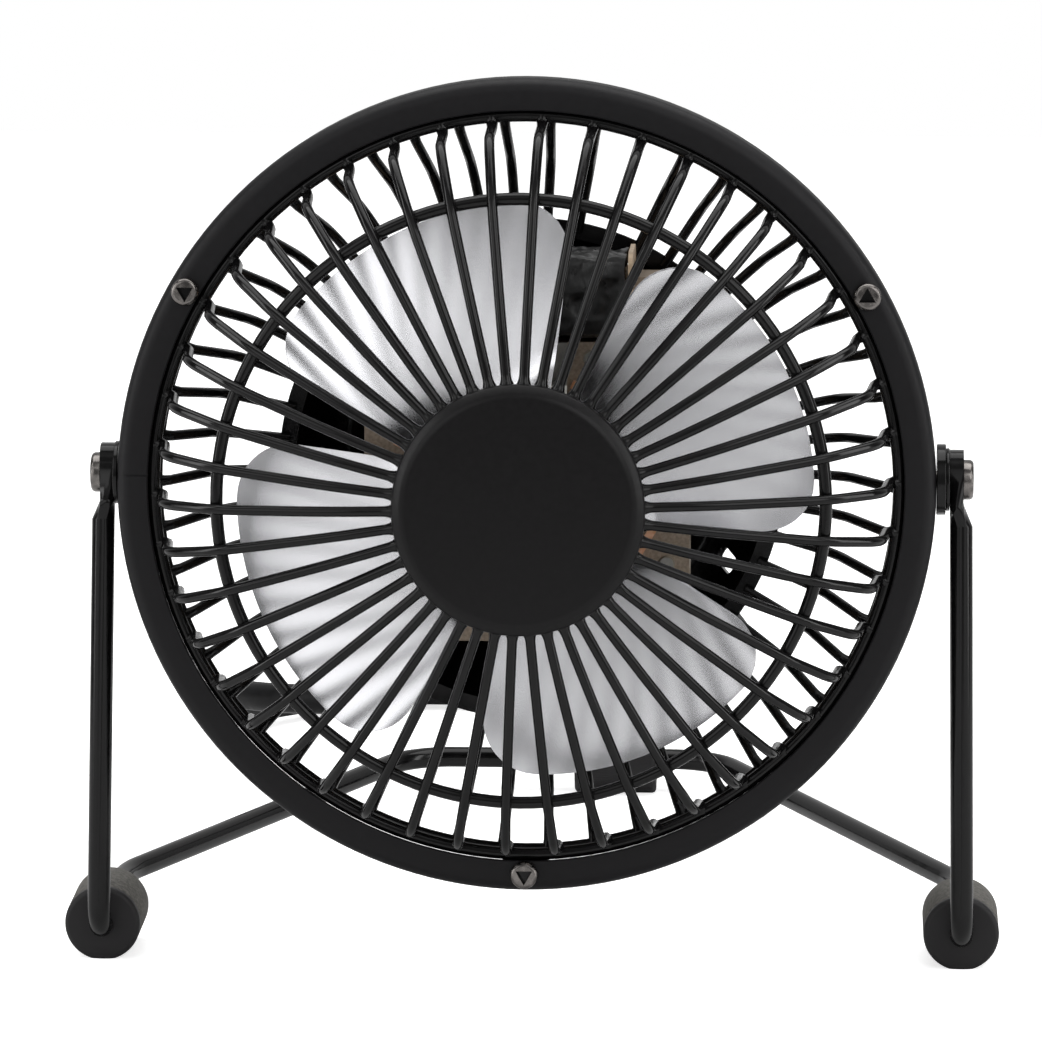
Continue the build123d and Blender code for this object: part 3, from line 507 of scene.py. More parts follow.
def make_plastics(colours):
    """Rubbers, plastics and tape."""
    made = {}
    # Black insulating tape: satin film over the winding
    made["tape"] = mottled(
        "insulating_tape", {"IOR": 1.5},
        scale=per_mm(3.0), tones=("#080808", "#121212"), roughness=(0.26, 0.44), bump_mm=0.12,
        stretch=(2.2, 1, 1),
    )
    # Tan nylon of the bobbin: moulded, faintly mottled
    made["nylon"] = mottled(
        "moulded_tan_nylon", {"IOR": 1.53},
        scale=per_mm(1.5), tones=("#b9a084", "#d2bda2"), roughness=(0.42, 0.55), bump_mm=0.02,
    )
    # Cap on the end of each foot: smooth and black. The whole rear foot wears it too, as painted shade
    made["cap"] = mottled(
        "moulded_rubber_cap_and_painted_shade", {"IOR": 1.52, "Specular IOR Level": 0.3},
        scale=per_mm(0.9), tones=shades(colours.cap, 0.9, 1.12), roughness=(0.5, 0.62), bump_mm=0.02,
    )
    # Black rubber of the feet: matte, with a grey bloom on the surface
    made["rubber"] = mottled(
        "moulded_black_rubber", {"IOR": 1.52},
        scale=per_mm(0.7), tones=shades(colours.rubber, 0.8, 1.2), roughness=(0.62, 0.8), bump_mm=0.04,
        detail=8.0,
    )
    # PVC sheath of the lead: soft satin black
    made["pvc"] = mottled(
        "extruded_pvc_sheath", {"IOR": 1.53, "Specular IOR Level": 0.12},
        scale=per_mm(1.6), tones=shades(colours.lead, 0.88, 1.12), roughness=(0.36, 0.5), bump_mm=0.02,
    )
    # Spark-textured ABS of switch, strain relief and plug: a fine even grit
    made["abs"] = mottled(
        "textured_black_abs", {"IOR": 1.53},
        scale=per_mm(0.5), tones=("#121213", "#1f1f20"), roughness=(0.46, 0.6), bump_mm=0.04,
    )
    # Polished ABS of the rocker: glossy black
    made["gloss_abs"] = mottled(
        "gloss_black_abs", {"IOR": 1.53},
        scale=per_mm(3.0), tones=("#0e0e0f", "#171718"), roughness=(0.14, 0.24), bump_mm=0.01,
    )
    return made


# Studio stage

# The camera stands a little to the right and above, and aims this far from the middle of the pivots
CAMERA_AZIMUTH = math.radians(2.8)
CAMERA_ELEVATION = math.radians(11.0)
CAMERA_DISTANCE = 1.15
CAMERA_AIM_MM = (-1.147, 1.55, -8.38)

# Reflections see a room that is bright in front, dim at its sides and pale behind the fan.
# Each tone has its place from 0, straight in front of the fan, to 1, straight behind it. The room's
# diffuse light is even
ROOM_TONES = ((0.03, 0.3), (0.1, 0.66), (0.2, 0.6), (0.34, 0.2), (0.55, 0.12), (0.9, 0.6))
ROOM_LIGHT = 0.18
FLOOR_TONES = (0.86, 0.9)
FLOOR_FIBRE_MM = 0.8
FLOOR_LIFT = 0.68

# Area lamps: place, the point they face, width and height, and power in watts
FAN_MIDDLE = (0, 0, 0.08)
LAMPS = {
    "top_softbox": ((0.0, 0.12, 1.1), (0, 0.02, 0.08), (1.5, 0.9), 12.0),
    "left_strip": ((-1.0, -0.3, 0.4), FAN_MIDDLE, (0.25, 1.0), 4.0),
    "right_strip": ((1.0, -0.3, 0.4), FAN_MIDDLE, (0.25, 1.0), 4.0),
    "right_key": ((0.62, -0.95, 0.7), FAN_MIDDLE, (0.8, 0.8), 4.2),
    "front_fill": ((-0.72, -1.0, 0.56), FAN_MIDDLE, (0.9, 0.7), 2.4),
}


def stand_camera(scene):
    """Put the camera where the photograph was taken from."""
    aim = Vector((SHAFT.x, PIVOT.y, PIVOT.z)) + Vector(CAMERA_AIM_MM) * MM
    level = math.cos(CAMERA_ELEVATION)
    away = Vector((
        math.sin(CAMERA_AZIMUTH) * level,
        -math.cos(CAMERA_AZIMUTH) * level,
        math.sin(CAMERA_ELEVATION),
    ))
    view = bpy.data.cameras.new("studio_camera")
    view.sensor_width = 36
    view.lens = scene.fan_sizes.lens
    view.clip_end = 20
    camera = bpy.data.objects.new("studio_camera", view)
    scene.collection.objects.link(camera)
    camera.location = aim + away * CAMERA_DISTANCE
    camera.rotation_euler = (-away).to_track_quat("-Z", "Y").to_euler()
    scene.camera = camera


def paint_room(scene):
    """White to the camera, toned for reflections and an even soft light for the rest."""
    scene.world = bpy.data.worlds.new("studio_white")
    scene.world.use_nodes = True
    tree = scene.world.node_tree
    sky = tree.nodes["Background"]
    sky.inputs["Color"].default_value = linear("#ffffff")
    rays = add(tree, "ShaderNodeLightPath").outputs
    way = add(tree, "ShaderNodeTexCoord").outputs["Generated"]
    back = add(tree, "ShaderNodeSeparateXYZ", {"Vector": way}).outputs["Y"]
    depth = add(tree, "ShaderNodeMapRange", {"Value": back, "From Min": -1.0, "From Max": 1.0})
    room = add(tree, "ShaderNodeValToRGB", {"Fac": depth.outputs["Result"]})
    ramp = room.color_ramp
    ramp.interpolation = "EASE"
    while len(ramp.elements) < len(ROOM_TONES):
        ramp.elements.new(0.5)
    for stop, (place, tone) in zip(ramp.elements, ROOM_TONES):
        stop.position = place
        stop.color = (tone, tone, tone, 1)
    glossy = {"Value": rays["Is Glossy Ray"], "To Min": ROOM_LIGHT, "To Max": room.outputs["Color"]}
    shown = add(tree, "ShaderNodeMapRange", glossy).outputs["Result"]
    seen = {0: rays["Is Camera Ray"], 1: rays["Is Transmission Ray"]}
    clear = add(tree, "ShaderNodeMath", seen, operation="MAXIMUM").outputs["Value"]
    level = add(tree, "ShaderNodeMapRange", {"Value": clear, "To Min": shown, "To Max": 1.0})
    tree.links.new(level.outputs["Result"], sky.inputs["Strength"])


def lay_floor():
    """A sheet of white paper under the fan, lifted to white for the camera, that keeps the shadow."""
    clear_selection()
    bpy.ops.mesh.primitive_plane_add(size=2.0, location=(0, 0.05, 0))
    floor = bpy.context.object
    floor.name = "white_floor"
    paper, tree, shader = finish_of("white_paper", {"Roughness": 0.9, "IOR": 1.3})
    place = add(tree, "ShaderNodeTexCoord").outputs["Object"]
    fibre = add(tree, "ShaderNodeTexNoise", {"Vector": place, "Scale": per_mm(FLOOR_FIBRE_MM)})
    low, high = FLOOR_TONES
    tone = add(tree, "ShaderNodeMapRange", {"Value": fibre.outputs["Fac"], "To Min": low, "To Max": high})
    tree.links.new(tone.outputs["Result"], shader.inputs["Base Color"])
    seen = add(tree, "ShaderNodeLightPath").outputs["Is Camera Ray"]
    lift = add(tree, "ShaderNodeMath", {0: seen, 1: FLOOR_LIFT}, operation="MULTIPLY")
    shader.inputs["Emission Color"].default_value = linear("#ffffff")
    tree.links.new(lift.outputs["Value"], shader.inputs["Emission Strength"])
    floor.data.materials.append(paper)


def hang_lamps(scene):
    """Soft rectangular lamps above, beside and in front of the fan."""
    for name, (place, at, (width, height), power) in LAMPS.items():
        light = bpy.data.lights.new(name, "AREA")
        light.shape = "RECTANGLE"
        light.size = width
        light.size_y = height
        light.energy = power
        lamp = bpy.data.objects.new(name, light)
        scene.collection.objects.link(lamp)
        lamp.location = place
        lamp.rotation_euler = (Vector(at) - Vector(place)).to_track_quat("-Z", "Y").to_euler()


class DESKFAN_OT_stage(bpy.types.Operator):
    """Set the camera, the lamps and the white floor"""

    bl_idname = "desk_fan.stage"
    bl_label = "Studio stage"

    def execute(self, context):
        """Light the fan softly on a white floor, seen as photographed."""
        context.scene.view_settings.view_transform = "Standard"
        stand_camera(context.scene)
        paint_room(context.scene)
        lay_floor()
        hang_lamps(context.scene)
        return {"FINISHED"}


# Mains lead

# Out of the strain relief, down behind the housing, round to the left and back along the floor
LEAD_ROUTE_MM = (
    (-0.725, 10.5946, 78.4959),
    (-0.725, 34.572, 77.449),
    (-1.0, 55.5, 61.5),
    (-8.0, 61.0, 36.0),
    (-30.0, 61.5, 22.0),
    (-54.0, 70.0, 19.8),
    (-68.5, 89.0, 17.0),
    (-71.5, 109.0, 9.5),
    (-67.5, 128.0, 4.6),
    (-54.5, 144.0, 3.89),
    (-35.0, 152.0, 3.89),
)

# The length that is put away lies in two layers of turns, a step apart, and ends at the plug
COIL_PLACE_MM = (-16.0, 196.3)
COIL_RADIUS_MM = 44.3
COIL_STEP_MM = 6.85
COIL_LAYER_MM = 7.1
COIL_LOW_MM = 3.89
COIL_TURNS = 6
COIL_BLEND = 0.25
COIL_TAIL = 0.375
COIL_TAIL_RADIUS_MM = 51.8
COIL_START = 270.0
PLUG_MIDDLE_MM = 7.1
POINTS_A_TURN = 12


def ease(share):
    """A share from 0 to 1 that starts and ends gently."""
    return share * share * (3 - 2 * share)


def coil_place(turns):
    """Where the put-away lead runs after so many turns: inwards below, outwards above, off to the plug."""
    half = COIL_TURNS / 2
    angle = math.radians(COIL_START + 360 * turns)
    u = min(turns, COIL_TURNS) - half
    inner = COIL_RADIUS_MM - COIL_STEP_MM * half
    if abs(u) < COIL_BLEND:
        radius = inner + COIL_STEP_MM * (u * u / COIL_BLEND + COIL_BLEND) / 2
    else:
        radius = inner + COIL_STEP_MM * abs(u)
    climb = min(max((u / COIL_BLEND + 1) / 2, 0), 1)
    height = COIL_LOW_MM + COIL_LAYER_MM * ease(climb)
    if turns > COIL_TURNS:
        away = ease(min((turns - COIL_TURNS) / COIL_TAIL, 1))
        radius += (COIL_TAIL_RADIUS_MM - COIL_RADIUS_MM) * away
        height += (PLUG_MIDDLE_MM - height) * away
    # A spline of order 3 runs inside its points, so they stand out by the half step's cosine
    radius /= math.cos(math.pi / POINTS_A_TURN)
    x = COIL_PLACE_MM[0] + radius * math.cos(angle)
    y = COIL_PLACE_MM[1] + radius * math.sin(angle)
    return (x, y, height)


class DESKFAN_OT_mains_lead(bpy.types.Operator):
    """Lay the mains lead from the housing to its coil and plug"""

    bl_idname = "desk_fan.mains_lead"
    bl_label = "Mains lead"

    def execute(self, context):
        """Route the lead on one spline and draw its sheath along it."""
        thickness = context.scene.fan_sizes.lead
        turns = COIL_TURNS + COIL_TAIL
        steps = round(turns * POINTS_A_TURN)
        route = [*LEAD_ROUTE_MM]
        route += [coil_place(step / POINTS_A_TURN) for step in range(steps)]
        route.append(coil_place(turns))

        path = bpy.data.curves.new("mains_lead_path", "CURVE")
        path.dimensions = "3D"
        path.resolution_u = 6
        spline = path.splines.new("NURBS")
        spline.points.add(len(route) - 1)
        for point, (x, y, z) in zip(spline.points, route):
            point.co = (x * MM, y * MM, z * MM, 1)
        spline.order_u = 3
        spline.use_endpoint_u = True
        holder = bpy.data.objects.new("mains_lead_path", path)
        context.scene.collection.objects.link(holder)
        bare = bpy.data.meshes.new_from_object(holder.evaluated_get(context.evaluated_depsgraph_get()))
        path.bevel_depth = thickness / 2
        path.bevel_resolution = 4
        path.use_fill_caps = True
        take(holder)
        bpy.ops.object.convert(target="MESH")
        lead = context.object
        lead.name = "mains_lead"
        smooth(lead, ROUND_CREASE)

        settle(lead, None, "pvc", "cord_rubber", "cord_lead", "cord_coil")
        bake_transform(lead)
        coat("abs", "mains_plug", "cord_tie")
        coat("plate", "plug_pins")
        return {"FINISHED"}


# Rim


class DESKFAN_OT_rim(bpy.types.Operator):
    """Roll the rim band round the guard"""

    bl_idname = "desk_fan.rim"
    bl_label = "Rim band"

    def execute(self, context):
        """Turn the band's section, round its bends and cut its seam. Sizes are in millimetres."""
        low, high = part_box("rim_band")
        outer = (high[0] - low[0]) / 2 / MM
        inner = 65.9
        curl = 7.4
        depth = 11.2
        sheet = 0.8
        section = [
            (inner, 0), (outer, 0), (outer, -curl),
            (outer - sheet, -depth), (outer - 2 * sheet, -depth),
            (outer - sheet, -curl), (outer - sheet, -sheet),
            (inner, -sheet), (inner, 0),
        ]
        bends = ((1, 2.4, 8), (2, 1.8, 5), (5, 1.8, 5), (6, 1.6, 6))
        band = lathe("rim_band_coated", section, bends, steps=160)
        soften(band, width_mm=0.25, crease=TURNED_CREASE)

        # The band's two ends meet in a fine seam at the left, across its front and down its side
        seam_clock = 271.5
        seam_gap = 0.3
        seam_bite = 0.9
        proud = 0.2
        front_run = 7.0
        front_inset = 2.8
        side_run = 13.5
        side_drop = 6.5
        front_place = head_place(outer - front_inset, proud, seam_clock)
        side_place = head_place(outer + proud, -side_drop, seam_clock)
        front_cut = block(front_place, (front_run, seam_gap, seam_bite), HEAD_TURN)
        side_cut = block(side_place, (seam_bite, seam_gap, side_run), HEAD_TURN)
        sink(band, front_cut, side_cut)
        smooth(band)
        settle(band, "head", "powder_coat", "black_steel", "rim_band")
        coat("powder_coat", "rim_clips")
        return {"FINISHED"}


# The rim's screws: the clock angle of each, and how its triangular recess is turned
SCREW_CIRCLE_MM = 68.3
SCREW_TURNS = {60: 0.0, 180: math.pi, 300: math.pi}


class DESKFAN_OT_rim_screws(bpy.types.Operator):
    """Fit the rim's three screws"""

    bl_idname = "desk_fan.rim_screws"
    bl_label = "Rim screws"

    def execute(self, context):
        """Sink a triangular recess in each screw's head and darken it with painted shade. Sizes are in
        millimetres.
        """
        recess_radius = 1.7
        recess_height = 2.4
        recess_middle = 1.4
        screws = from_solid("rim_screws", "rim_screws_plated")
        for clock, turn in SCREW_TURNS.items():
            clear_selection()
            bpy.ops.mesh.primitive_cylinder_add(
                vertices=3,
                radius=recess_radius * MM,
                depth=recess_height * MM,
                location=head_place(SCREW_CIRCLE_MM, recess_middle, clock),
                rotation=HEAD_TURN,
            )
            cutter = context.object
            cutter.rotation_euler.rotate_axis("Z", turn)
            context.view_layer.update()
            sink(screws, cutter)
        smooth(screws, SOLID_CREASE)
        settle(screws, "head", "nickel", "dark_nickel", "rim_screws")

        # The faces of a recess lie near its screw's middle, below the head's top
        recess_reach = 1.0
        lowest = 0.1
        highest = 1.2
        # Black enamel on the recess faces is painted shade inside the recess
        screws.data.materials.append(FINISHES["enamel"])
        for face in screws.data.polygons:
            d = head_reach(face.center)[1]
            middles = [head_place(SCREW_CIRCLE_MM, d, clock) for clock in SCREW_TURNS]
            away = min((face.center - middle).length for middle in middles)
            face.material_index = int(away < recess_reach * MM and lowest < d < highest)
        return {"FINISHED"}


# Guards

# A wire's points from the rim inwards: radius, distance forwards and reach of the bend, in millimetres.
# The close points at its ends carry the swell of weld and enamel where it meets a ring
FRONT_CLOCK = 2.5
FRONT_WIRE_MM = (
    (64.9, -1.9, 0),
    (64.2, -1.62, 0),
    (63.6, -1.1, 0),
    (63.2, -0.4, 0),
    (62.4, 9.8, 1.3),
    (60.8, 12.52, 1.3),
    (52.5, 19.0, 3.5),
    (33.0, 23.6, 5.0),
)
# Inside its last bend a front wire rises 1 mm for each 18 mm inwards
FRONT_CONE_RADII_MM = (24.8, 24.1, 23.4, 22.8, 22.2, 21.6, 18.6)
FRONT_CONE_RUN = 18
REAR_CLOCK = 3.6
REAR_WIRE_MM = (
    (64.9, -6.2, 0),
    (64.2, -6.5, 0),
    (63.5, -6.9, 0),
    (62.7, -7.5, 0),
    (55.6, -20.0, 3.0),
    (43.5, -22.91, 0),
)
# Welds: radius and distance forwards, rise as a share of the wire's radius, and reach
FRONT_WELDS_MM = ((64.9, -1.9, 0.45, 2.4), (21.4, 24.24, 0.5, 1.7))
REAR_WELDS_MM = ((64.9, -6.2, 0.4, 2.4),)
# A ring's middle lies this share of its thickness inside the outside of its solid
RING_INSET = 0.55


def guard_wires(name, run, welds, clock, segments, thickness, count):
    """Bend one guard wire, swell it at its welds and copy it round the shaft."""
    points = [head_place(radius, d, clock) for radius, d, _ in run]
    piece = trace(name, points)
    for point, (_, _, reach_mm) in zip(points, run):
        if reach_mm:
            round_bend(piece, point, reach_mm, segments)
    take(piece)
    bpy.ops.object.convert(target="CURVE")
    line = bpy.context.object.data
    line.dimensions = "3D"
    line.bevel_depth = thickness / 2
    line.bevel_resolution = 3
    line.use_fill_caps = True
    for point in line.splines[0].points:
        point.radius = 1
        for radius, d, rise, reach_mm in welds:
            gap_mm = (point.co.xyz - head_place(radius, d, clock)).length / MM
            near = max(0.0, 1 - gap_mm / reach_mm)
            point.radius += rise * near * near
    bpy.ops.object.convert(target="MESH")
    piece = bpy.context.object
    close_up(piece)
    copy_round(piece, count)
    return piece


def guard_ring(node, thickness):
    """A welded wire ring about the shaft, in place of its solid."""
    low, high = (Vector(corner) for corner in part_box(node))
    d_mm = head_reach((low + high) / 2)[1]
    clear_selection()
    bpy.ops.mesh.primitive_torus_add(
        location=head_place(0, d_mm),
        rotation=HEAD_TURN,
        major_radius=(high.x - low.x) / 2 - thickness * RING_INSET,
        minor_radius=thickness / 2,
        major_segments=144,
        minor_segments=12,
    )
    ring = bpy.context.object
    ring.name = f"{node}_round"
    bpy.ops.object.transform_apply(location=True, rotation=True, scale=True)
    smooth(ring, ROUND_CREASE)
    settle(ring, "head", "enamel", "black_steel", node)


class DESKFAN_OT_front_guard(bpy.types.Operator):
    """Weld the front guard from wires and rings"""

    bl_idname = "desk_fan.front_guard"
    bl_label = "Front guard"

    def execute(self, context):
        """Bend one wire, copy it round the shaft, add the rings."""
        sizes = context.scene.fan_sizes
        edge, edge_d, _ = FRONT_WIRE_MM[-1]
        cone = [(radius, edge_d + (edge - radius) / FRONT_CONE_RUN, 0) for radius in FRONT_CONE_RADII_MM]
        wires = guard_wires(
            "front_guard_wires", [*FRONT_WIRE_MM, *cone], FRONT_WELDS_MM, FRONT_CLOCK,
            segments=4, thickness=sizes.wire, count=sizes.front_wires,
        )
        settle(wires, "head", "enamel", "black_steel", "front_grille_wires")
        for node in ("front_rim_ring", "front_mid_ring", "front_centre_ring"):
            guard_ring(node, sizes.ring)
        return {"FINISHED"}


class DESKFAN_OT_hub_disc(bpy.types.Operator):
    """Press the plain disc over the guard's centre"""

    bl_idname = "desk_fan.hub_disc"
    bl_label = "Hub disc"

    def execute(self, context):
        """Turn the cap with a rounded edge and a shallow crown. Sizes are in millimetres."""
        section = [
            (0, 27.49), (19.9, 27.44), (21.7, 26.0), (21.7, 25.29),
            (20.9, 25.29), (20.9, 25.7), (19.6, 26.6), (0, 26.65),
        ]
        bends = ((1, 0.7, 5), (2, 0.4, 4))
        disc = lathe("hub_disc_painted", section, bends, steps=96)

        # The tabs that hook behind the guard's centre ring are cut from the solid
        tab_front = 26.3
        tab_reach = 20.55
        tabs = from_solid("hub_badge", "hub_disc_tabs")
        edit_all(tabs)
        bpy.ops.mesh.bisect(
            plane_co=head_place(0, tab_front),
            plane_no=FORWARD,
            use_fill=True,
            clear_outer=True,
        )
        pick_verts(tabs, lambda vert: head_reach(vert.co)[0] > tab_reach)
        bpy.ops.mesh.delete(type="VERT")
        bpy.ops.object.mode_set(mode="OBJECT")
        weld_into(disc, tabs)
        smooth(disc, TURNED_CREASE)
        settle(disc, "head", "hub_paint", "black_steel", "hub_badge")
        return {"FINISHED"}


class DESKFAN_OT_rear_guard(bpy.types.Operator):
    """Weld the rear guard from wires and its ring"""

    bl_idname = "desk_fan.rear_guard"
    bl_label = "Rear guard"

    def execute(self, context):
        """Bend one rear wire, copy it round the shaft, add the ring."""
        sizes = context.scene.fan_sizes
        wires = guard_wires(
            "rear_guard_wires", REAR_WIRE_MM, REAR_WELDS_MM, REAR_CLOCK,
            segments=5, thickness=sizes.wire, count=sizes.rear_wires,
        )
        settle(wires, "head", "enamel", "black_steel", "rear_grille_wires")
        guard_ring("rear_rim_ring", sizes.ring)
        return {"FINISHED"}


# Motor and its housing


def gland_section():
    """Strain relief: a flange each side of the housing's wall, then a tapered sleeve with ribs.

    Radii and distances forwards of the wall's outside, in millimetres.
    """
    flange = 5.5
    flange_thick = 1.6
    neck = 3.8
    wall_inside = -0.83
    wall_outside = 0.03
    ribs = 7
    rib_start = 2.0
    rib_pitch = 2.4
    first_rib = 4.6
    last_rib = 3.75
    groove_depth = 0.75
    groove_run = 0.7
    slope = 0.2
    tip = 3.6
    tip_round = 0.3
    end = 20.0
    profile = [
        (0, wall_inside - flange_thick), (flange, wall_inside - flange_thick), (flange, wall_inside),
        (neck, wall_inside), (neck, wall_outside),
        (flange, wall_outside), (flange, wall_outside + flange_thick),
    ]
    for rib in range(ribs):
        back = rib_start + rib * rib_pitch
        crest = first_rib - rib * (first_rib - last_rib) / ribs
        profile += [
            (crest - groove_depth, back), (crest - groove_depth, back + groove_run),
            (crest, back + groove_run + slope), (crest, back + rib_pitch - slope),
        ]
    profile += [(tip, end - 2 * tip_round), (tip - tip_round, end), (0, end)]
    return [(radius, -back) for radius, back in profile]


class DESKFAN_OT_housing(bpy.types.Operator):
    """Press the motor's housing and fit its strain relief and switch"""

    bl_idname = "desk_fan.housing"
    bl_label = "Motor housing"

    def execute(self, context):
        """Soften the pressed cup, turn the strain relief, finish the switch and nuts."""
        # The strain relief sits a little below the shaft, in the housing's rear wall
        gland_drop_mm = 5.0
        wall_d_mm = -49.6
        housing = from_solid("rear_housing", "motor_housing_pressed", edge_mm=0.25)
        settle(housing, "head", "enamel", "black_steel", "rear_housing")
        middle = head_place(gland_drop_mm, wall_d_mm, 180)
        gland = lathe("strain_relief_moulded", gland_section(), centre=middle, steps=40)
        soften(gland, width_mm=0.12, crease=TURNED_CREASE)
        settle(gland, "head", "abs", "black_plastic", "cord_gland")
        coat("abs", "switch_body")
        coat("gloss_abs", "switch_rocker")
        coat("zinc", "motor_nuts")
        return {"FINISHED"}


class DESKFAN_OT_motor(bpy.types.Operator):
    """Fit the open motor behind the blades"""

    bl_idname = "desk_fan.motor"
    bl_label = "Motor"

    def execute(self, context):
        """Dress the core, coil, straps and fixings."""
        core = from_solid("stator_core", "stator_core_stamped", edge_mm=0.2)
        settle(core, "head", "core_steel", "lamination_steel", "stator_core")

        # The tape is wound by hand, so it lies in soft folds over the winding
        fold_size = 4.5 * MM
        fold_depth = 2.0 * MM
        coil = from_solid("field_coil", "field_coil_taped")
        take(coil)
        even = coil.modifiers.new("even", "REMESH")
        even.mode = "VOXEL"
        even.voxel_size = 0.5 * MM
        bpy.ops.object.modifier_apply(modifier="even")
        folds = coil.modifiers.new("folds", "DISPLACE")
        folds.texture = bpy.data.textures.new("tape_folds", "CLOUDS")
        folds.texture.noise_scale = fold_size
        folds.texture_coords = "LOCAL"
        folds.strength = fold_depth
        folds.mid_level = 0.75
        bpy.ops.object.modifier_apply(modifier="folds")
        smooth(coil, ROUND_CREASE)
        settle(coil, "head", "tape", "coil_tape", "field_coil")

        coat("nylon", "coil_bobbin")
        coat("copper", "shading_rings")
        coat("bronze", "front_bearing", "rear_bearing")
        coat("zinc", "front_bearing_bracket", "rear_bearing_bracket")
        coat("zinc", "lamination_rivets", "motor_screws", "motor_standoffs")
        coat("ground_steel", "motor_shaft", "rotor_core")
        return {"FINISHED"}


# Blades

# One blade in its own plane, in millimetres: half its root's width and the root's distance out
BLADE_FOOT = Vector((9.5, 10.06))
BLADE_SPREAD = math.radians(35.5)
BLADE_CORNER_MM = 9.0
BLADE_SHEET_MM = 0.7
BLADE_CLOCK = 63.9
BLADE_D_MM = 6.4
# The twist, in degrees, and the radii between which it sets in
BLADE_PITCH = 21.5
BLADE_EASE_OFF = 7.5
TWIST_START_MM = 9.0
TWIST_FULL_MM = 19.0
# The easing off ends a little past the tip, and is steeper there; the grid's rows crowd towards the tip
EASE_OFF_PAST_MM = 1.5
EASE_OFF_POWER = 1.7
ROW_CROWDING = 1.6
# The disc that joins the blades
DISC_RADIUS_MM = 15.0
DISC_BORE_MM = 2.03


def blade_outline(tip):
    """A function that gives half a blade's spread at a radius, for straight sides and round corners."""
    side = Vector((tip * math.sin(BLADE_SPREAD), tip * math.cos(BLADE_SPREAD)))
    along = (side - BLADE_FOOT).normalized()
    outward = Vector((along.y, -along.x))
    line = BLADE_FOOT.dot(outward)
    # The corner's circle touches the side line and the tip circle
    offset = line - BLADE_CORNER_MM
    reach = math.sqrt((tip - BLADE_CORNER_MM) ** 2 - offset * offset)
    middle = outward * offset + along * reach
    middle_angle = math.atan2(middle.x, middle.y)
    touch = (middle + outward * BLADE_CORNER_MM).length

    def half_angle(radius):
        """Half the blade's spread at a radius."""
        if radius < touch:
            edge = outward * line + along * math.sqrt(radius * radius - line * line)
            return math.atan2(edge.x, edge.y)
        squares = radius * radius + middle.length_squared - BLADE_CORNER_MM * BLADE_CORNER_MM
        return middle_angle + math.acos(min(1.0, squares / (2 * radius * middle.length)))

    return half_angle


def blade_pitch(out, tip):
    """The blade's pitch: none at the root, full soon after it, easing off to the tip."""
    rise = min(1.0, max(0.0, (out - TWIST_START_MM) / (TWIST_FULL_MM - TWIST_START_MM)))
    past = max(0.0, (out - TWIST_FULL_MM) / (tip + EASE_OFF_PAST_MM - TWIST_FULL_MM))
    return math.radians(BLADE_PITCH * ease(rise) - BLADE_EASE_OFF * past**EASE_OFF_POWER)


class DESKFAN_OT_blades(bpy.types.Operator):
    """Stamp and twist the fan's blades"""

    bl_idname = "desk_fan.blades"
    bl_label = "Fan blades"

    def execute(self, context):
        """Shape one blade from a grid, thicken it, copy it and add the disc and hub."""
        sizes = context.scene.fan_sizes
        tip = sizes.blade_span / 2 / MM
        start = BLADE_FOOT.length
        half_angle = blade_outline(tip)
        crease = 30.0
        clear_selection()
        bpy.ops.mesh.primitive_grid_add(x_subdivisions=28, y_subdivisions=30, size=1, calc_uvs=True)
        blade = context.object
        blade.name = "fan_blades_twisted"
        for vert in blade.data.vertices:
            side = vert.co.x * 2
            row = vert.co.y + 0.5
            radius = start + (tip - start) * (1 - (1 - row) ** ROW_CROWDING)
            angle = side * half_angle(radius)
            twist = blade_pitch(radius * math.cos(angle), tip)
            d = BLADE_D_MM - radius * math.sin(angle) * math.tan(twist)
            vert.co = head_place(radius, d, BLADE_CLOCK + math.degrees(angle))
        blade.data.update()
        sheet = blade.modifiers.new("sheet", "SOLIDIFY")
        sheet.thickness = BLADE_SHEET_MM * MM
        sheet.offset = 0
        take(blade)
        bpy.ops.object.modifier_apply(modifier="sheet")
        smooth(blade, crease)
        copy_round(blade, sizes.blades)

        front = BLADE_D_MM + BLADE_SHEET_MM / 2
        back = BLADE_D_MM - BLADE_SHEET_MM / 2
        section = [
            (DISC_BORE_MM, front), (DISC_RADIUS_MM, front),
            (DISC_RADIUS_MM, back), (DISC_BORE_MM, back), (DISC_BORE_MM, front),
        ]
        weld_into(blade, lathe("blade_disc", section))
        edit_all(blade)
        bpy.ops.mesh.normals_make_consistent(inside=False)
        smooth(blade, crease)
        settle(blade, "rotor", "aluminium", "bright_aluminium", "fan_blades")
        hub = from_solid("blade_hub", "blade_hub_turned")
        settle(hub, "rotor", "zinc", "bright_aluminium", "blade_hub")
        return {"FINISHED"}


# Stand


class DESKFAN_OT_stand(bpy.types.Operator):
    """Bend the rod of the stand"""

    bl_idname = "desk_fan.stand"
    bl_label = "Stand rod"

    def execute(self, context):
        """Dress the bent rod."""
        rod = from_solid("stand_rod", "stand_rod_enamelled")
        settle(rod, "stand", "enamel", "black_steel", "stand_rod")
        return {"FINISHED"}


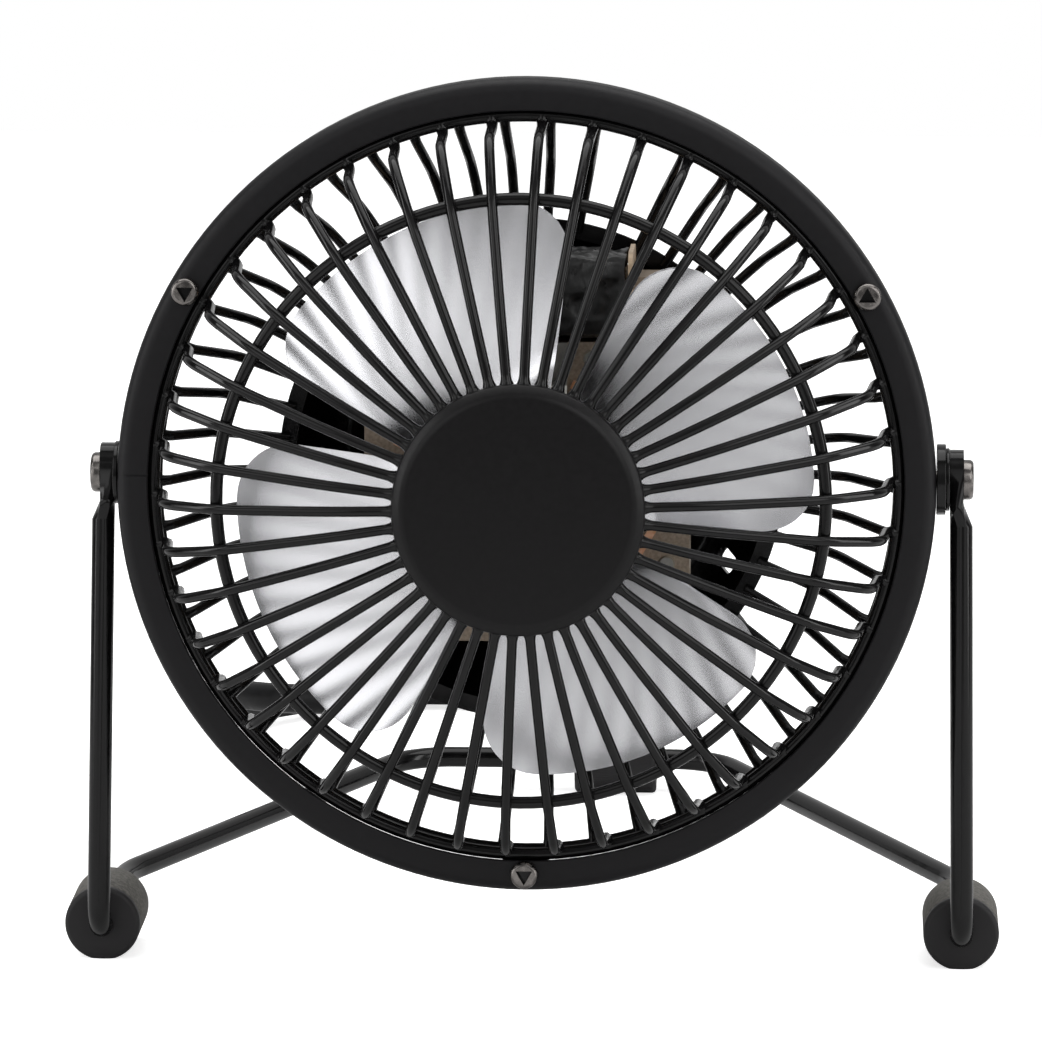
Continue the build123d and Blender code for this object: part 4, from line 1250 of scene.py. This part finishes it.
class DESKFAN_OT_feet(bpy.types.Operator):
    """Mould the three rubber feet"""

    bl_idname = "desk_fan.feet"
    bl_label = "Feet"

    def execute(self, context):
        """Cut the groove that sets a foot's smooth cap off from its sleeve, and paint shade over the whole
        rear foot with the cap's finish.
        """
        radius = 6.7 * MM
        cap = 2.1 * MM
        groove = 0.4 * MM
        for side in ("left", "right", "rear"):
            node = f"{side}_foot"
            foot = from_solid(node, f"{node}_rubber")
            low, high = (Vector(corner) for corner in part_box(node))
            # The front feet lie from front to back, and the rear one from left to right
            if side == "rear":
                axis = RIGHT
                end = Vector((low.x, low.y + radius, high.z - radius))
            else:
                axis = Vector((0, 1, 0))
                end = Vector((low.x + radius, low.y, high.z - radius))
            clear_selection()
            bpy.ops.mesh.primitive_torus_add(
                location=end + axis * cap,
                rotation=axis.to_track_quat("Z", "Y").to_euler(),
                major_radius=radius,
                minor_radius=groove,
                major_segments=96,
                minor_segments=8,
            )
            sink(foot, context.object)
            smooth(foot, SOLID_CREASE)
            settle(foot, "stand", "rubber", "foot_rubber", node)
            # The rear foot wears the dark cap finish all over: painted shade, as it stands in shade behind
            # the head
            foot.data.materials.append(FINISHES["cap"])
            for face in foot.data.polygons:
                face.material_index = int(side == "rear" or (face.center - end).dot(axis) < cap)
        return {"FINISHED"}


class DESKFAN_OT_pivots(bpy.types.Operator):
    """Fit the screws, washers and nuts that the head tilts on"""

    bl_idname = "desk_fan.pivots"
    bl_label = "Tilt pivots"

    def execute(self, context):
        """Cut a cross in each screw's head and round the washers. Sizes are in millimetres."""
        cross_deep = 1.7
        cross_wide = 0.9
        cross_long = 4.2
        cross_turn = (math.radians(38), 0, 0)
        screws = from_solid("pivot_screws", "pivot_screws_plated")
        low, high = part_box("pivot_screws")
        for x in (low[0], high[0]):
            head = Vector((x, PIVOT.y, PIVOT.z))
            upright = block(head, (cross_deep, cross_wide, cross_long), cross_turn)
            level = block(head, (cross_deep, cross_long, cross_wide), cross_turn)
            sink(screws, upright, level)
        smooth(screws, SOLID_CREASE)
        settle(screws, "head", "nickel", "dark_nickel", "pivot_screws")
        for node in ("left_pivot_washer", "right_pivot_spacer", "right_pivot_washer"):
            washer = from_solid(node, f"{node}_round", edge_mm=0.15)
            settle(washer, "head", "enamel", "black_steel", node)
        coat("zinc", "pivot_nuts")
        return {"FINISHED"}


class DESKFAN_PT_panel(bpy.types.Panel):
    """Lists the steps that build the desk fan."""

    bl_idname = "DESKFAN_PT_panel"
    bl_label = "Desk fan"
    bl_space_type = "VIEW_3D"
    bl_region_type = "UI"
    bl_category = "Desk fan"

    def draw(self, context):
        """Show a button for each step, then the sizes and colours."""
        layout = self.layout
        for step in STEPS:
            layout.operator(step.bl_idname)
        for group in (context.scene.fan_sizes, context.scene.fan_colours):
            column = layout.column()
            for key in type(group).__annotations__:
                column.prop(group, key)


STEPS = (
    DESKFAN_OT_stage,
    DESKFAN_OT_mains_lead,
    DESKFAN_OT_rim,
    DESKFAN_OT_rim_screws,
    DESKFAN_OT_front_guard,
    DESKFAN_OT_hub_disc,
    DESKFAN_OT_rear_guard,
    DESKFAN_OT_housing,
    DESKFAN_OT_motor,
    DESKFAN_OT_blades,
    DESKFAN_OT_stand,
    DESKFAN_OT_feet,
    DESKFAN_OT_pivots,
)
CLASSES = (FanSizes, FanColours, *STEPS, DESKFAN_PT_panel)


def register():
    """Add the classes and the scene's two property groups."""
    for made in CLASSES:
        bpy.utils.register_class(made)
    bpy.types.Scene.fan_sizes = PointerProperty(type=FanSizes)
    bpy.types.Scene.fan_colours = PointerProperty(type=FanColours)


def unregister():
    """Take them away again."""
    del bpy.types.Scene.fan_colours
    del bpy.types.Scene.fan_sizes
    for made in reversed(CLASSES):
        bpy.utils.unregister_class(made)


def main():
    """Build the whole picture."""
    register()
    for make in (make_coats, make_metals, make_plastics):
        FINISHES.update(make(bpy.context.scene.fan_colours))
    for step in STEPS:
        group, name = step.bl_idname.split(".")
        getattr(getattr(bpy.ops, group), name)()


if __name__ == "__main__":
    main()
